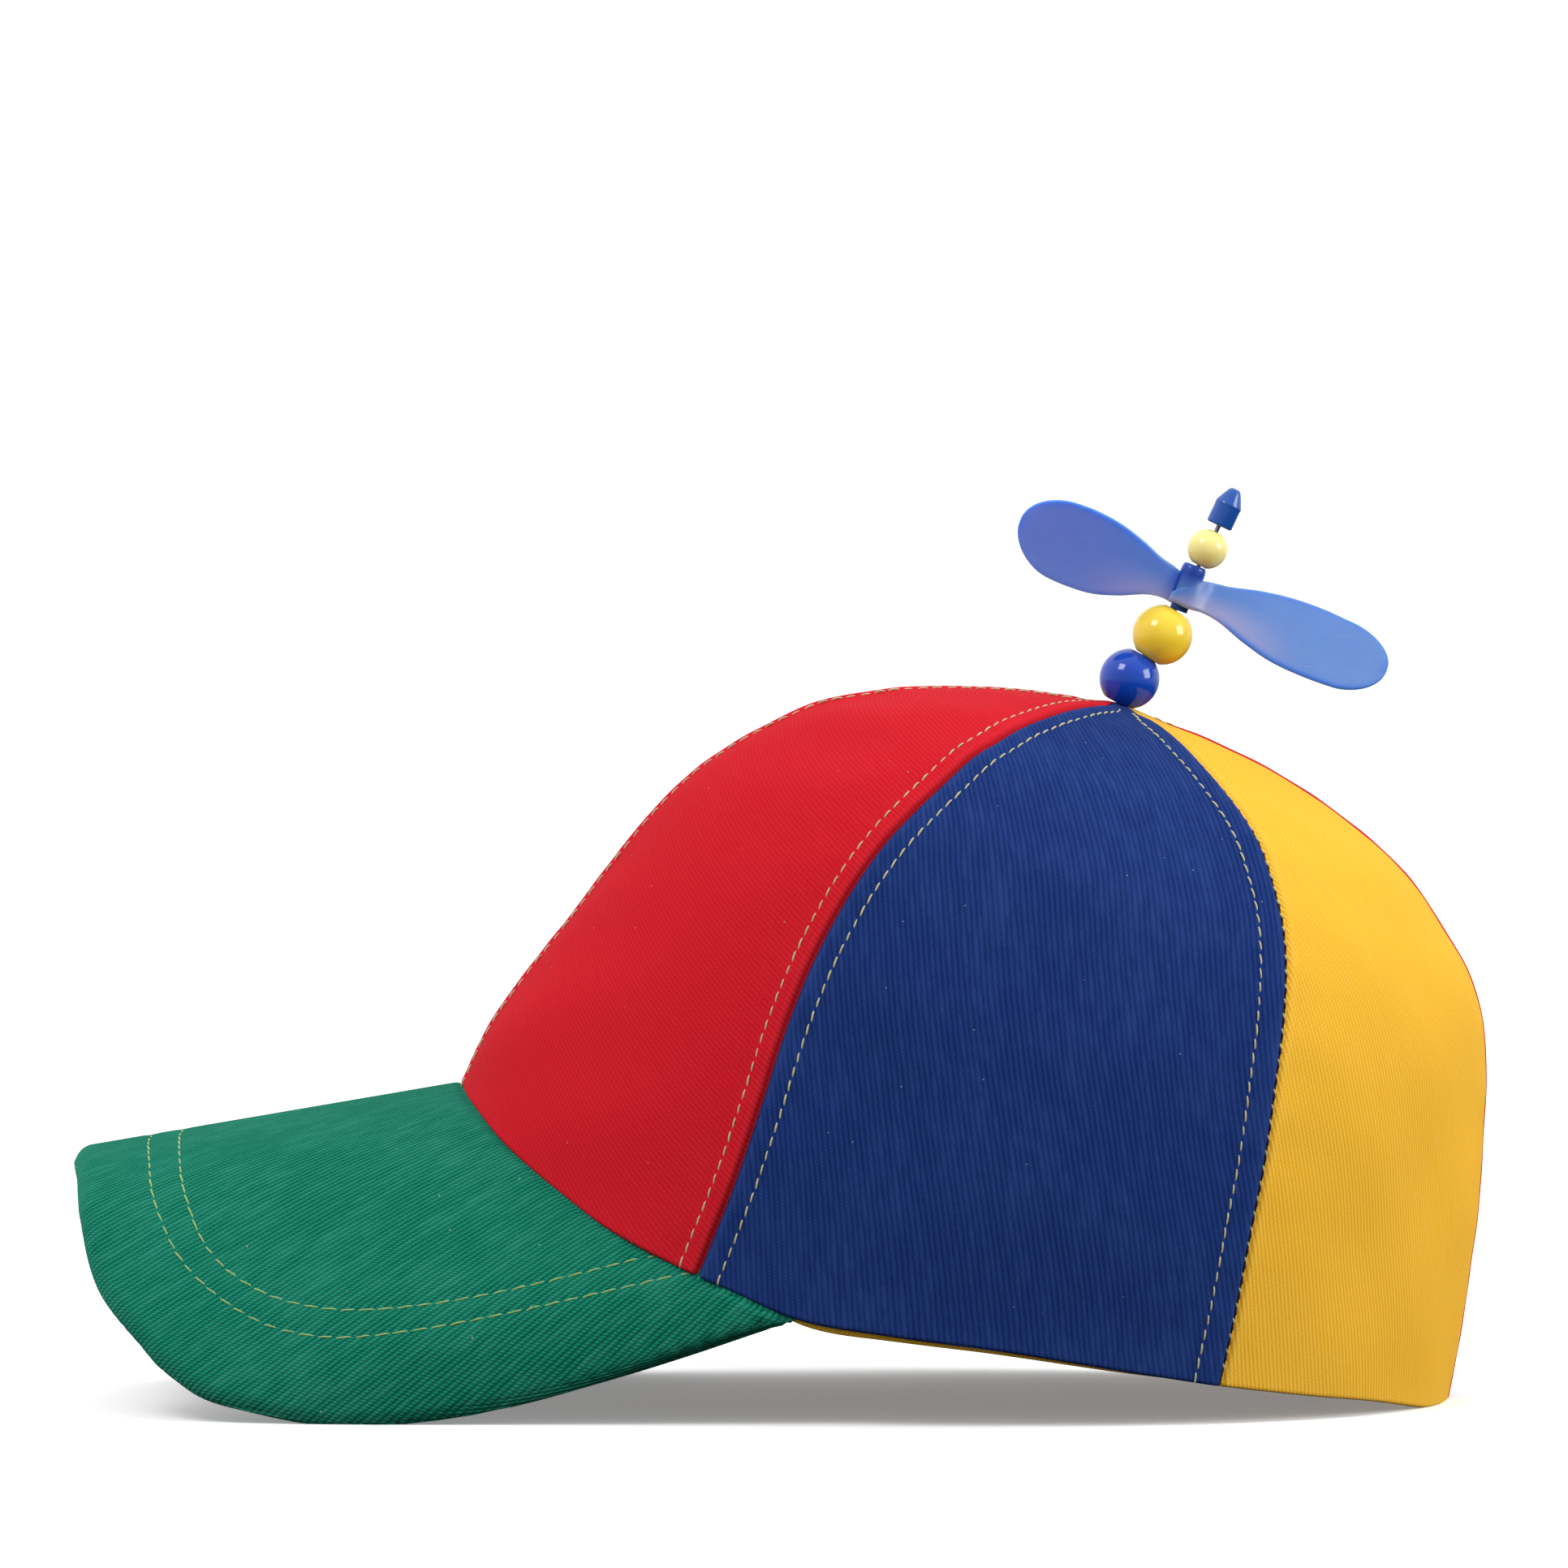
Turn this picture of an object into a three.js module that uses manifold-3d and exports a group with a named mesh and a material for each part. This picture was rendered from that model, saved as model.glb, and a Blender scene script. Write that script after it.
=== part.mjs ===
// Propeller cap: a six-panel cotton cap with a curved visor and, on its crown, a bent wire that
// carries two large beads, a two-blade propeller, a small bead and an end cap.
// Millimetres and degrees. +Z is up, the visor points to -X and the wearer's left side is at -Y.
// The cloth is worked out in the crown's own frame: hem centre at the origin, crown axis along +Z.
// The cap then tips back until it rests on the visor's two side edges and the back of the hem.
import * as THREE from "three";
import { mergeVertices } from "three/addons/utils/BufferGeometryUtils.js";
import Module from "manifold-3d";

const wasm = await Module();
wasm.setup();

// Crown
const CROWN_HALF_LENGTH = 103;
const CROWN_HALF_WIDTH = 82;
const CROWN_HEIGHT = 111.4;
const PANEL_WALL = 1.5;
const SEAM_GAP = 0.3;
const APEX_FORWARD = 1.5;
const APEX_HOLE_PLAY = 2.05; // from the wire to the panels' tips

// Visor
const VISOR_LENGTH = 75;
const VISOR_THICKNESS = 3;
const VISOR_SPAN = 1.2; // panels that the visor reaches round, from the front seam to the temple

// Sweatband
const BAND_WALL = 1;
const BAND_HEIGHT = 30;
const BAND_SHOWING = 1.3;

// Wire and what it carries. A bore is wider than the wire by its piece's play.
const WIRE_DIAMETER = 0.9;
const WIRE_TAIL = 2.2; // below the foot
const LARGE_BEAD_DIAMETER = 12;
const LARGE_BEAD_HEIGHT = 10.6;
const LARGE_BEAD_PLAY = 1.7;
const SMALL_BEAD_DIAMETER = 8;
const SMALL_BEAD_HEIGHT = 7.4;
const SMALL_BEAD_PLAY = 1.1;
const UPPER_BEAD_SLACK = 0.65; // share of its play that the second bead hangs off the wire
const HUB_HEIGHT = 9.6;
const HUB_DIAMETER = 5;
const HUB_PLAY = 1.7;
const HUB_WAIST = 0.42; // radius of the hub's lower end, as a share of its wall from the bore
const HUB_LEAN = 3.4; // the hub's axis from the crown's axis, towards the back
const LONG_BLADE_REACH = 43;
const SHORT_BLADE_REACH = 35;
const BLADE_CHORD = 20.2;
const BLADE_SKEW = 4.7; // the short blade is steeper and the long one flatter than the table by this
const BLADE_THICKNESS = 0.9;
const BLADE_EDGE = 0.45; // share of the thickness left at a blade's edges
const BLADE_ROOT = 0.33; // share of the hub's wall, from the bore, at which a blade starts
const END_CAP_DIAMETER = 5.1;
const END_CAP_LENGTH = 8;
const END_CAP_BORE_DEPTH = 3.6;
const BARE_WIRE = 2.3; // between the small bead and the end cap
const FOOT_DIAMETER = 12;
const FOOT_THICKNESS = 1.6;

// Clearances
const PIECE_GAP = 0.3;
const BEAD_SEAT = 0.6; // from the apex to the lower bead, which leans over the panels' tips
const REST_PRESS = 0.8; // how much cloth is pressed flat where the cap rests

// Steps of the meshes
const PANEL_COLUMNS = 10;
const PANEL_ROWS = 20;
const VISOR_ROWS = 5;
const VISOR_RIB_COUNT = 60;
const VISOR_RIB_CROWDING = 1.4; // ribs stand closer towards the temples, where the edge turns
const BAND_ROWS = 3;
const BEAD_SIDES = 16;
const BEAD_RINGS = 8;
const END_CAP_SIDES = 12;
const WIRE_SIDES = 8;
const WIRE_STEPS = 26;
const BLADE_STEPS = 14;
const BLADE_CELLS = 6;
const SURFACE_STEP = 0.04; // of a panel, to find which way its surface faces
const VISOR_STEP = 0.02; // of the visor, for the same
const MERGE_WITHIN = 1e-4;

const FINISHES = {
  redTwill: { color: "#c81c2a", roughness: 0.9, metalness: 0 },
  blueTwill: { color: "#1e3c8c", roughness: 0.9, metalness: 0 },
  yellowTwill: { color: "#f5bc32", roughness: 0.9, metalness: 0 },
  greenTwill: { color: "#188769", roughness: 0.9, metalness: 0 },
  blueBead: { color: "#1437c8", roughness: 0.15, metalness: 0 },
  yellowBead: { color: "#f5d73c", roughness: 0.15, metalness: 0 },
  paleBead: { color: "#f5e682", roughness: 0.15, metalness: 0 },
  blueBlade: { color: "#3c6ed7", roughness: 0.4, metalness: 0 },
  blueCap: { color: "#1941af", roughness: 0.2, metalness: 0 },
  steel: { color: "#8c8f92", roughness: 0.35, metalness: 1 },
  whiteFoot: { color: "#e8e8e4", roughness: 0.5, metalness: 0 },
};

// Level sections of the crown. height is a share of the crown's height; front and back are shares of
// its half length, side of its half width, each from the apex hole's rim out to the full size.
// frontSeam and backSeam place the side seams as shares of the section's front and back half length,
// and ridge is how far a panel is flatter in its middle than a round section, as a share of its radius.
const CROWN_RINGS = [
  { height: 0, front: 1, back: 1, side: 1, frontSeam: 0.465, backSeam: 0.539, ridge: 0.006 },
  { height: 0.12, front: 0.981, back: 0.985, side: 0.996, frontSeam: 0.46, backSeam: 0.533, ridge: 0.01 },
  { height: 0.235, front: 0.941, back: 0.965, side: 0.985, frontSeam: 0.475, backSeam: 0.527, ridge: 0.014 },
  { height: 0.345, front: 0.895, back: 0.945, side: 0.965, frontSeam: 0.497, backSeam: 0.524, ridge: 0.018 },
  { height: 0.46, front: 0.85, back: 0.915, side: 0.935, frontSeam: 0.507, backSeam: 0.519, ridge: 0.02 },
  { height: 0.57, front: 0.801, back: 0.885, side: 0.888, frontSeam: 0.503, backSeam: 0.514, ridge: 0.022 },
  { height: 0.66, front: 0.747, back: 0.848, side: 0.832, frontSeam: 0.492, backSeam: 0.509, ridge: 0.024 },
  { height: 0.73, front: 0.687, back: 0.8, side: 0.772, frontSeam: 0.477, backSeam: 0.505, ridge: 0.026 },
  { height: 0.79, front: 0.623, back: 0.732, side: 0.705, frontSeam: 0.463, backSeam: 0.502, ridge: 0.028 },
  { height: 0.845, front: 0.554, back: 0.661, side: 0.63, frontSeam: 0.453, backSeam: 0.495, ridge: 0.03 },
  { height: 0.88, front: 0.483, back: 0.603, side: 0.562, frontSeam: 0.446, backSeam: 0.48, ridge: 0.03 },
  { height: 0.912, front: 0.41, back: 0.528, side: 0.488, frontSeam: 0.443, backSeam: 0.463, ridge: 0.03 },
  { height: 0.945, front: 0.304, back: 0.43, side: 0.385, frontSeam: 0.443, backSeam: 0.44, ridge: 0.03 },
  { height: 0.972, front: 0.194, back: 0.318, side: 0.272, frontSeam: 0.45, backSeam: 0.43, ridge: 0.03 },
  { height: 0.987, front: 0.105, back: 0.215, side: 0.17, frontSeam: 0.47, backSeam: 0.45, ridge: 0.02 },
  { height: 0.996, front: 0.04, back: 0.11, side: 0.075, frontSeam: 0.49, backSeam: 0.48, ridge: 0.01 },
  { height: 1, front: 0, back: 0, side: 0, frontSeam: 0.5, backSeam: 0.5, ridge: 0 },
];

// The hem's height round the head, as a share of the crown's height, by bearing from the front.
const HEM_LINE = [
  { bearing: 0, rise: 0.006 },
  { bearing: 16, rise: -0.022 },
  { bearing: 28, rise: -0.06 },
  { bearing: 40, rise: -0.1 },
  { bearing: 49, rise: -0.13 },
  { bearing: 58, rise: -0.149 },
  { bearing: 67, rise: -0.162 },
  { bearing: 75, rise: -0.172 },
  { bearing: 85, rise: -0.15 },
  { bearing: 97, rise: -0.117 },
  { bearing: 112, rise: -0.086 },
  { bearing: 122, rise: -0.067 },
  { bearing: 133, rise: -0.046 },
  { bearing: 147, rise: -0.024 },
  { bearing: 164, rise: -0.016 },
  { bearing: 180, rise: -0.006 },
];

// Ribs of the visor, from its middle (across 0) to the temple (across 1). Each runs from the hem to
// the visor's edge; forward, inward and down are shares of the visor's length.
const VISOR_RIBS = [
  { across: 0, forward: 0.925, inward: 0, down: 0.474 },
  { across: 0.217, forward: 0.953, inward: 0.008, down: 0.475 },
  { across: 0.367, forward: 1.007, inward: 0.013, down: 0.505 },
  { across: 0.533, forward: 1.062, inward: 0.039, down: 0.594 },
  { across: 0.653, forward: 1.076, inward: 0.053, down: 0.635 },
  { across: 0.75, forward: 1.095, inward: 0.072, down: 0.673 },
  { across: 0.833, forward: 1.043, inward: 0.076, down: 0.705 },
  { across: 0.892, forward: 0.828, inward: 0.072, down: 0.635 },
  { across: 0.955, forward: 0.488, inward: 0.067, down: 0.405 },
  { across: 1, forward: 0.06, inward: 0.015, down: 0.05 },
];

// How much of the sweatband shows below the hem, as a share of its full showing, by bearing.
const BAND_LINE = [
  { bearing: 0, showing: -0.5 },
  { bearing: 40, showing: -0.5 },
  { bearing: 75, showing: -0.5 },
  { bearing: 80, showing: 0.9 },
  { bearing: 88, showing: 1 },
  { bearing: 112, showing: 0.4 },
  { bearing: 124, showing: -0.4 },
  { bearing: 150, showing: -0.4 },
  { bearing: 180, showing: -0.4 },
];

// The wire's lean from the crown's axis towards the back, by its share of the length above the apex.
const WIRE_LEANS = [
  { along: -0.2, lean: 0 },
  { along: 0, lean: 3 },
  { along: 0.12, lean: 11 },
  { along: 0.24, lean: 18 },
  { along: 0.36, lean: 16 },
  { along: 0.58, lean: 11 },
  { along: 0.78, lean: 9.5 },
  { along: 1, lean: 6 },
];

// Sections of a blade from the hub out: chord and centre are shares of the chord at its widest, and
// pitch is measured from the plane that the blades turn in.
const BLADE_SECTIONS = [
  { reach: 0, chord: 0.3, centre: 0, pitch: 66 },
  { reach: 0.15, chord: 0.42, centre: -0.01, pitch: 61 },
  { reach: 0.3, chord: 0.69, centre: -0.02, pitch: 55 },
  { reach: 0.45, chord: 0.9, centre: -0.03, pitch: 51 },
  { reach: 0.62, chord: 1, centre: -0.03, pitch: 48 },
  { reach: 0.77, chord: 0.93, centre: -0.03, pitch: 46 },
  { reach: 0.88, chord: 0.71, centre: -0.02, pitch: 45 },
  { reach: 0.95, chord: 0.46, centre: -0.01, pitch: 45 },
  { reach: 1, chord: 0.14, centre: 0, pitch: 45 },
];

// The end cap's outline from its base to its tip, as shares of its radius and its length.
const END_CAP_OUTLINE = [
  { radius: 1, height: 0 },
  { radius: 1, height: 0.62 },
  { radius: 0.72, height: 0.84 },
  { radius: 0.3, height: 0.97 },
  { radius: 0, height: 1 },
];

// The crown's panels round from the front centre seam by the wearer's left side.
const PANELS = [
  { name: "crown_panel_front_left", finish: "redTwill" },
  { name: "crown_panel_side_left", finish: "blueTwill" },
  { name: "crown_panel_rear_left", finish: "yellowTwill" },
  { name: "crown_panel_rear_right", finish: "redTwill" },
  { name: "crown_panel_side_right", finish: "blueTwill" },
  { name: "crown_panel_front_right", finish: "yellowTwill" },
];
const PANEL_COUNT = PANELS.length;
const REAR_SEAM = PANEL_COUNT / 2; // panels from the front centre seam to the rear one
const TOP_LEVEL = CROWN_RINGS.length - 1;
const APEX_HOLE_RADIUS = WIRE_DIAMETER / 2 + APEX_HOLE_PLAY;

const { clamp, degToRad, lerp, radToDeg } = THREE.MathUtils;

// A table read as smooth functions: key is the column that orders the rows.
function smoothTable(rows, key) {
  const columns = Object.keys(rows[0]).filter((name) => name !== key);
  const places = rows.map((row) => row[key]);
  const values = rows.flatMap((row) => columns.map((name) => row[name]));
  const curve = new THREE.CubicInterpolant(
    Float64Array.from(places),
    Float64Array.from(values),
    columns.length,
    new Float64Array(columns.length),
  );
  return (place) => {
    const found = curve.evaluate(clamp(place, places[0], places[places.length - 1]));
    return Object.fromEntries(columns.map((name, i) => [name, found[i]]));
  };
}

const ringRows = CROWN_RINGS.map((row, level) => ({ level, ...row }));
const ringAt = smoothTable(ringRows, "level");
const hemAt = smoothTable(HEM_LINE, "bearing");
const visorRibAt = smoothTable(VISOR_RIBS, "across");
const bandAt = smoothTable(BAND_LINE, "bearing");
const wireLeanAt = smoothTable(WIRE_LEANS, "along");
const bladeAt = smoothTable(BLADE_SECTIONS, "reach");

// A place counted in panels from the front centre seam, brought into one turn.
function turnOf(panel) {
  return ((panel % PANEL_COUNT) + PANEL_COUNT) % PANEL_COUNT;
}

// The bearing from the front, on either side of the head, of a place on a level section.
function bearingOf(panel, ring) {
  const turn = turnOf(panel);
  const place = Math.min(turn, PANEL_COUNT - turn);
  const frontSeam = radToDeg(Math.acos(ring.frontSeam));
  const backSeam = 180 - radToDeg(Math.acos(ring.backSeam));
  if (place <= 1) return place * frontSeam;
  if (place <= 2) return lerp(frontSeam, backSeam, place - 1);
  return lerp(backSeam, 180, place - 2);
}

// A point of the crown's outer face. panel counts the panels from the front centre seam round by the
// wearer's left side; share runs from 0 at the hem to 1 at the apex hole. The hem's line fades out
// with the cube of the height still to go, and the crown leans forward with the square of its height.
function crownFace(panel, share) {
  const ring = ringAt(share * TOP_LEVEL);
  const bearing = bearingOf(panel, ring);
  const angle = degToRad(bearing);
  const side = turnOf(panel) <= REAR_SEAM ? -1 : 1;
  const ends = Math.cos(angle) > 0 ? ring.front : ring.back;
  const flat = 1 - ring.ridge * Math.abs(Math.sin(Math.PI * panel));
  const halfLength = lerp(APEX_HOLE_RADIUS, CROWN_HALF_LENGTH, ends) * flat;
  const halfWidth = lerp(APEX_HOLE_RADIUS, CROWN_HALF_WIDTH, ring.side) * flat;
  const hemRise = hemAt(bearing).rise * (1 - ring.height) ** 3;
  return new THREE.Vector3(
    -halfLength * Math.cos(angle) - APEX_FORWARD * ring.height ** 2,
    side * halfWidth * Math.sin(angle),
    CROWN_HEIGHT * (ring.height + hemRise),
  );
}

// The share of the way up a panel that lies at a height above the hem centre.
function shareAtHeight(height) {
  const target = height / CROWN_HEIGHT;
  const level = CROWN_RINGS.findIndex((row) => row.height > target);
  const below = CROWN_RINGS[level - 1].height;
  const above = CROWN_RINGS[level].height;
  return (level - 1 + (target - below) / (above - below)) / TOP_LEVEL;
}

// A point on the crown at a depth below its outer face.
function crownPoint(panel, share, depth) {
  const here = crownFace(panel, share);
  if (depth === 0) return here;
  const low = Math.max(share - SURFACE_STEP, 0);
  const high = Math.min(share + SURFACE_STEP, 1);
  const round = crownFace(panel + SURFACE_STEP, share).sub(crownFace(panel - SURFACE_STEP, share));
  const up = crownFace(panel, high).sub(crownFace(panel, low));
  const outwards = round.cross(up).normalize();
  return here.addScaledVector(outwards, -depth);
}

// A rib of the visor at across, from -1 at the right temple to 1 at the left: its start under the
// hem and its end at the edge of the visor's upper face.
function visorRib(across) {
  const rib = visorRibAt(Math.abs(across));
  const start = crownPoint(across * VISOR_SPAN, 0, PANEL_WALL);
  start.z -= PIECE_GAP;
  const side = across > 0 ? 1 : -1;
  const run = new THREE.Vector3(-rib.forward, side * rib.inward, -rib.down);
  return { start, end: start.clone().addScaledVector(run, VISOR_LENGTH) };
}

// The visor's upper face: along runs from 0 at the hem to 1 at the edge.
function visorFace(across, along) {
  const { start, end } = visorRib(across);
  return start.lerp(end, along);
}

function visorPoint(across, along, depth) {
  const here = visorFace(across, along);
  if (depth === 0) return here;
  const wide = visorFace(Math.min(across + VISOR_STEP, 1), along).sub(
    visorFace(Math.max(across - VISOR_STEP, -1), along),
  );
  const out = visorFace(across, along + VISOR_STEP).sub(visorFace(across, along - VISOR_STEP));
  const below = wide.cross(out).normalize();
  const middle = new THREE.Vector3(0, -here.y, -CROWN_HALF_WIDTH);
  if (below.dot(middle) < 0) below.negate();
  return here.addScaledVector(below, depth);
}

// How far the cap tips back, and how high its hem centre then stands, so that it rests on the
// visor's side edges and the back of the hem.
function restingPlace() {
  const edge = [];
  const hem = [];
  const samples = 120;
  for (let i = 0; i <= samples; i += 1) {
    edge.push(visorFace(i / samples, 1));
    hem.push(crownFace(2 + i / samples, 0));
  }
  let tip = 0;
  let lift = 0;
  const rounds = 12;
  for (let i = 0; i < rounds; i += 1) {
    const height = (p) => p.z * Math.cos(tip) - p.x * Math.sin(tip);
    const lowest = (points) => points.reduce((a, b) => (height(b) < height(a) ? b : a));
    const front = lowest(edge);
    const back = lowest(hem);
    tip = Math.atan2(back.z - front.z, back.x - front.x);
    lift = -height(back);
  }
  return { tip, lift: lift - REST_PRESS };
}

const REST = restingPlace();

// From the crown's frame to the frame that the cap rests in.
function rested(point) {
  return point
    .clone()
    .applyAxisAngle(new THREE.Vector3(0, 1, 0), REST.tip)
    .add(new THREE.Vector3(0, 0, REST.lift));
}

// Cloth is pressed flat where it would reach below the surface it rests on.
function restedCloth(point) {
  const placed = rested(point);
  placed.z = Math.max(placed.z, 0);
  return placed;
}

// A closed wall between two grids of points, the first one on the outside.
function wallGeometry(outer, inner, closedRound = false) {
  const rows = outer.length;
  const columns = outer[0].length;
  const index = (grid, row, column) => (grid * rows + row) * columns + (column % columns);
  const triangles = [];
  const quad = (a, b, c, d) => triangles.push(a, b, c, a, c, d);
  const lastColumn = closedRound ? columns : columns - 1;
  for (let r = 0; r < rows - 1; r += 1) {
    for (let c = 0; c < lastColumn; c += 1) {
      quad(index(0, r, c), index(0, r, c + 1), index(0, r + 1, c + 1), index(0, r + 1, c));
      quad(index(1, r, c), index(1, r + 1, c), index(1, r + 1, c + 1), index(1, r, c + 1));
    }
  }
  for (let c = 0; c < lastColumn; c += 1) {
    const top = rows - 1;
    quad(index(0, 0, c), index(1, 0, c), index(1, 0, c + 1), index(0, 0, c + 1));
    quad(index(0, top, c), index(0, top, c + 1), index(1, top, c + 1), index(1, top, c));
  }
  if (!closedRound) {
    for (let r = 0; r < rows - 1; r += 1) {
      const end = columns - 1;
      quad(index(0, r, 0), index(0, r + 1, 0), index(1, r + 1, 0), index(1, r, 0));
      quad(index(0, r, end), index(1, r, end), index(1, r + 1, end), index(0, r + 1, end));
    }
  }
  const geometry = new THREE.BufferGeometry();
  geometry.setFromPoints([...outer.flat(), ...inner.flat()]);
  geometry.setIndex(triangles);
  return facingOut(geometry);
}

// The same closed surface with its faces turned outwards.
function facingOut(geometry) {
  const points = geometry.getAttribute("position");
  const corners = geometry.getIndex().array;
  const corner = (i) => new THREE.Vector3().fromBufferAttribute(points, corners[i]);
  let volume = 0;
  for (let i = 0; i < corners.length; i += 3) {
    volume += corner(i).dot(corner(i + 1).cross(corner(i + 2)));
  }
  if (volume < 0) {
    for (let i = 0; i < corners.length; i += 3) {
      [corners[i + 1], corners[i + 2]] = [corners[i + 2], corners[i + 1]];
    }
  }
  geometry.computeVertexNormals();
  return geometry;
}

function gridOf(rows, columns, pointAt) {
  return Array.from({ length: rows + 1 }, (_, r) =>
    Array.from({ length: columns + 1 }, (__, c) => pointAt(r / rows, c / columns)),
  );
}

function panelGeometry(from) {
  const face = (depth) =>
    gridOf(PANEL_ROWS, PANEL_COLUMNS, (share, across) => {
      const width = crownFace(from, share).distanceTo(crownFace(from + 1, share));
      const inset = SEAM_GAP / 2 / width;
      const panel = from + lerp(inset, 1 - inset, across);
      return restedCloth(crownPoint(panel, share, depth));
    });
  return wallGeometry(face(0), face(PANEL_WALL));
}

function visorGeometry() {
  const face = (depth) =>
    gridOf(VISOR_ROWS, VISOR_RIB_COUNT, (along, place) => {
      const side = 2 * place - 1;
      const across = Math.sign(side) * (1 - (1 - Math.abs(side)) ** VISOR_RIB_CROWDING);
      return restedCloth(visorPoint(across, along, depth));
    });
  return wallGeometry(face(0), face(VISOR_THICKNESS));
}

function bandGeometry() {
  const top = shareAtHeight(BAND_HEIGHT);
  const hem = ringAt(0);
  const face = (depth) =>
    gridOf(BAND_ROWS, PANEL_COUNT * PANEL_COLUMNS, (rise, round) => {
      const panel = PANEL_COUNT * round;
      const point = crownPoint(panel, rise * top, depth);
      if (rise === 0) point.z -= BAND_SHOWING * bandAt(bearingOf(panel, hem)).showing;
      return restedCloth(point);
    }).map((row) => row.slice(0, -1));
  const depth = PANEL_WALL + PIECE_GAP;
  return wallGeometry(face(depth), face(depth + BAND_WALL), true);
}

// Places along the wire in the crown's frame: the point and the lean from the crown's axis there.
const apex = new THREE.Vector3(-APEX_FORWARD, 0, CROWN_HEIGHT);

function wirePlace(distance) {
  const steps = 40;
  const step = distance / steps;
  const point = apex.clone();
  for (let i = 0; i < steps; i += 1) {
    const lean = degToRad(wireLeanAt(((i + 0.5) * step) / WIRE_END_AT).lean);
    point.add(new THREE.Vector3(step * Math.sin(lean), 0, step * Math.cos(lean)));
  }
  return { point, lean: wireLeanAt(distance / WIRE_END_AT).lean };
}

// Distances along the wire from the apex to the middle of each piece, from the pieces' own heights.
const LOWER_BEAD_AT = BEAD_SEAT + LARGE_BEAD_HEIGHT / 2;
const UPPER_BEAD_AT = LOWER_BEAD_AT + LARGE_BEAD_HEIGHT + PIECE_GAP;
const HUB_AT = UPPER_BEAD_AT + (LARGE_BEAD_HEIGHT + HUB_HEIGHT) / 2 + PIECE_GAP;
const SMALL_BEAD_AT = HUB_AT + (HUB_HEIGHT + SMALL_BEAD_HEIGHT) / 2 + PIECE_GAP;
const END_CAP_BASE_AT = SMALL_BEAD_AT + SMALL_BEAD_HEIGHT / 2 + BARE_WIRE;
const WIRE_END_AT = END_CAP_BASE_AT + END_CAP_BORE_DEPTH - PIECE_GAP;

function wireGeometry() {
  const start = -(footDepth() + FOOT_THICKNESS / 2 + WIRE_TAIL);
  const points = [];
  for (let i = 0; i <= WIRE_STEPS; i += 1) {
    points.push(rested(wirePlace(lerp(start, WIRE_END_AT, i / WIRE_STEPS)).point));
  }
  const section = new THREE.Shape();
  for (let i = 0; i < WIRE_SIDES; i += 1) {
    const angle = (2 * Math.PI * i) / WIRE_SIDES;
    const x = (WIRE_DIAMETER / 2) * Math.cos(angle);
    const y = (WIRE_DIAMETER / 2) * Math.sin(angle);
    if (i === 0) section.moveTo(x, y);
    else section.lineTo(x, y);
  }
  section.closePath();
  return new THREE.ExtrudeGeometry(section, {
    extrudePath: new THREE.CatmullRomCurve3(points),
    steps: WIRE_STEPS,
    bevelEnabled: false,
  });
}

// A solid turned about Z from an outline of [radius, height] pairs that closes on itself or on Z.
function turnedGeometry(outline, sides) {
  const profile = outline.map(([radius, height]) => new THREE.Vector2(radius, height));
  const geometry = new THREE.LatheGeometry(profile, sides);
  geometry.rotateX(Math.PI / 2);
  return geometry;
}

// The radius of a bore that the wire runs through with some play.
function boreRadius(play) {
  return (WIRE_DIAMETER + play) / 2;
}

// A ball whose ends are cut flat to its height, with a bore along Z.
function beadGeometry(diameter, height, play) {
  const bore = boreRadius(play);
  const rim = Math.asin(height / diameter);
  const outline = [[bore, -height / 2]];
  for (let i = 0; i <= BEAD_RINGS; i += 1) {
    const angle = lerp(-rim, rim, i / BEAD_RINGS);
    outline.push([(diameter / 2) * Math.cos(angle), (diameter / 2) * Math.sin(angle)]);
  }
  outline.push([bore, height / 2], outline[0]);
  return turnedGeometry(outline, BEAD_SIDES);
}

function endCapGeometry() {
  const bore = boreRadius(2 * PIECE_GAP);
  const outside = END_CAP_OUTLINE.map(({ radius, height }) => [
    radius * (END_CAP_DIAMETER / 2),
    height * END_CAP_LENGTH,
  ]);
  const inside = [
    [0, END_CAP_BORE_DEPTH],
    [bore, END_CAP_BORE_DEPTH],
    [bore, 0],
  ];
  return turnedGeometry([...inside, ...outside], END_CAP_SIDES);
}

// One blade reaching along +X from the hub's axis, which is Z.
function bladeGeometry(reach, skew) {
  const start = lerp(boreRadius(HUB_PLAY), HUB_DIAMETER / 2, BLADE_ROOT);
  const skin = (side) =>
    gridOf(BLADE_STEPS, BLADE_CELLS, (out, across) => {
      const row = bladeAt(out);
      const pitch = degToRad(row.pitch + skew);
      const chord = row.chord * BLADE_CHORD;
      const along = (across - 0.5) * chord;
      const edge = Math.min(across, 1 - across) * 2;
      const half = (BLADE_THICKNESS / 2) * lerp(BLADE_EDGE, 1, Math.min(1, edge * 2)) * side;
      return new THREE.Vector3(
        lerp(start, reach, out),
        along * Math.cos(pitch) - half * Math.sin(pitch),
        row.centre * BLADE_CHORD + along * Math.sin(pitch) + half * Math.cos(pitch),
      );
    });
  return wallGeometry(skin(1), skin(-1));
}

function solidOf(geometry) {
  const plain = geometry.clone();
  plain.deleteAttribute("normal");
  plain.deleteAttribute("uv");
  const merged = mergeVertices(plain, MERGE_WITHIN);
  return new wasm.Manifold(
    new wasm.Mesh({
      numProp: 3,
      vertProperties: merged.getAttribute("position").array,
      triVerts: new Uint32Array(merged.getIndex().array),
    }),
  );
}

function geometryOf(solid) {
  const { vertProperties, triVerts } = solid.getMesh();
  const geometry = new THREE.BufferGeometry();
  geometry.setAttribute("position", new THREE.BufferAttribute(vertProperties, 3));
  geometry.setIndex(new THREE.BufferAttribute(triVerts, 1));
  geometry.computeVertexNormals();
  return geometry;
}

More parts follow.
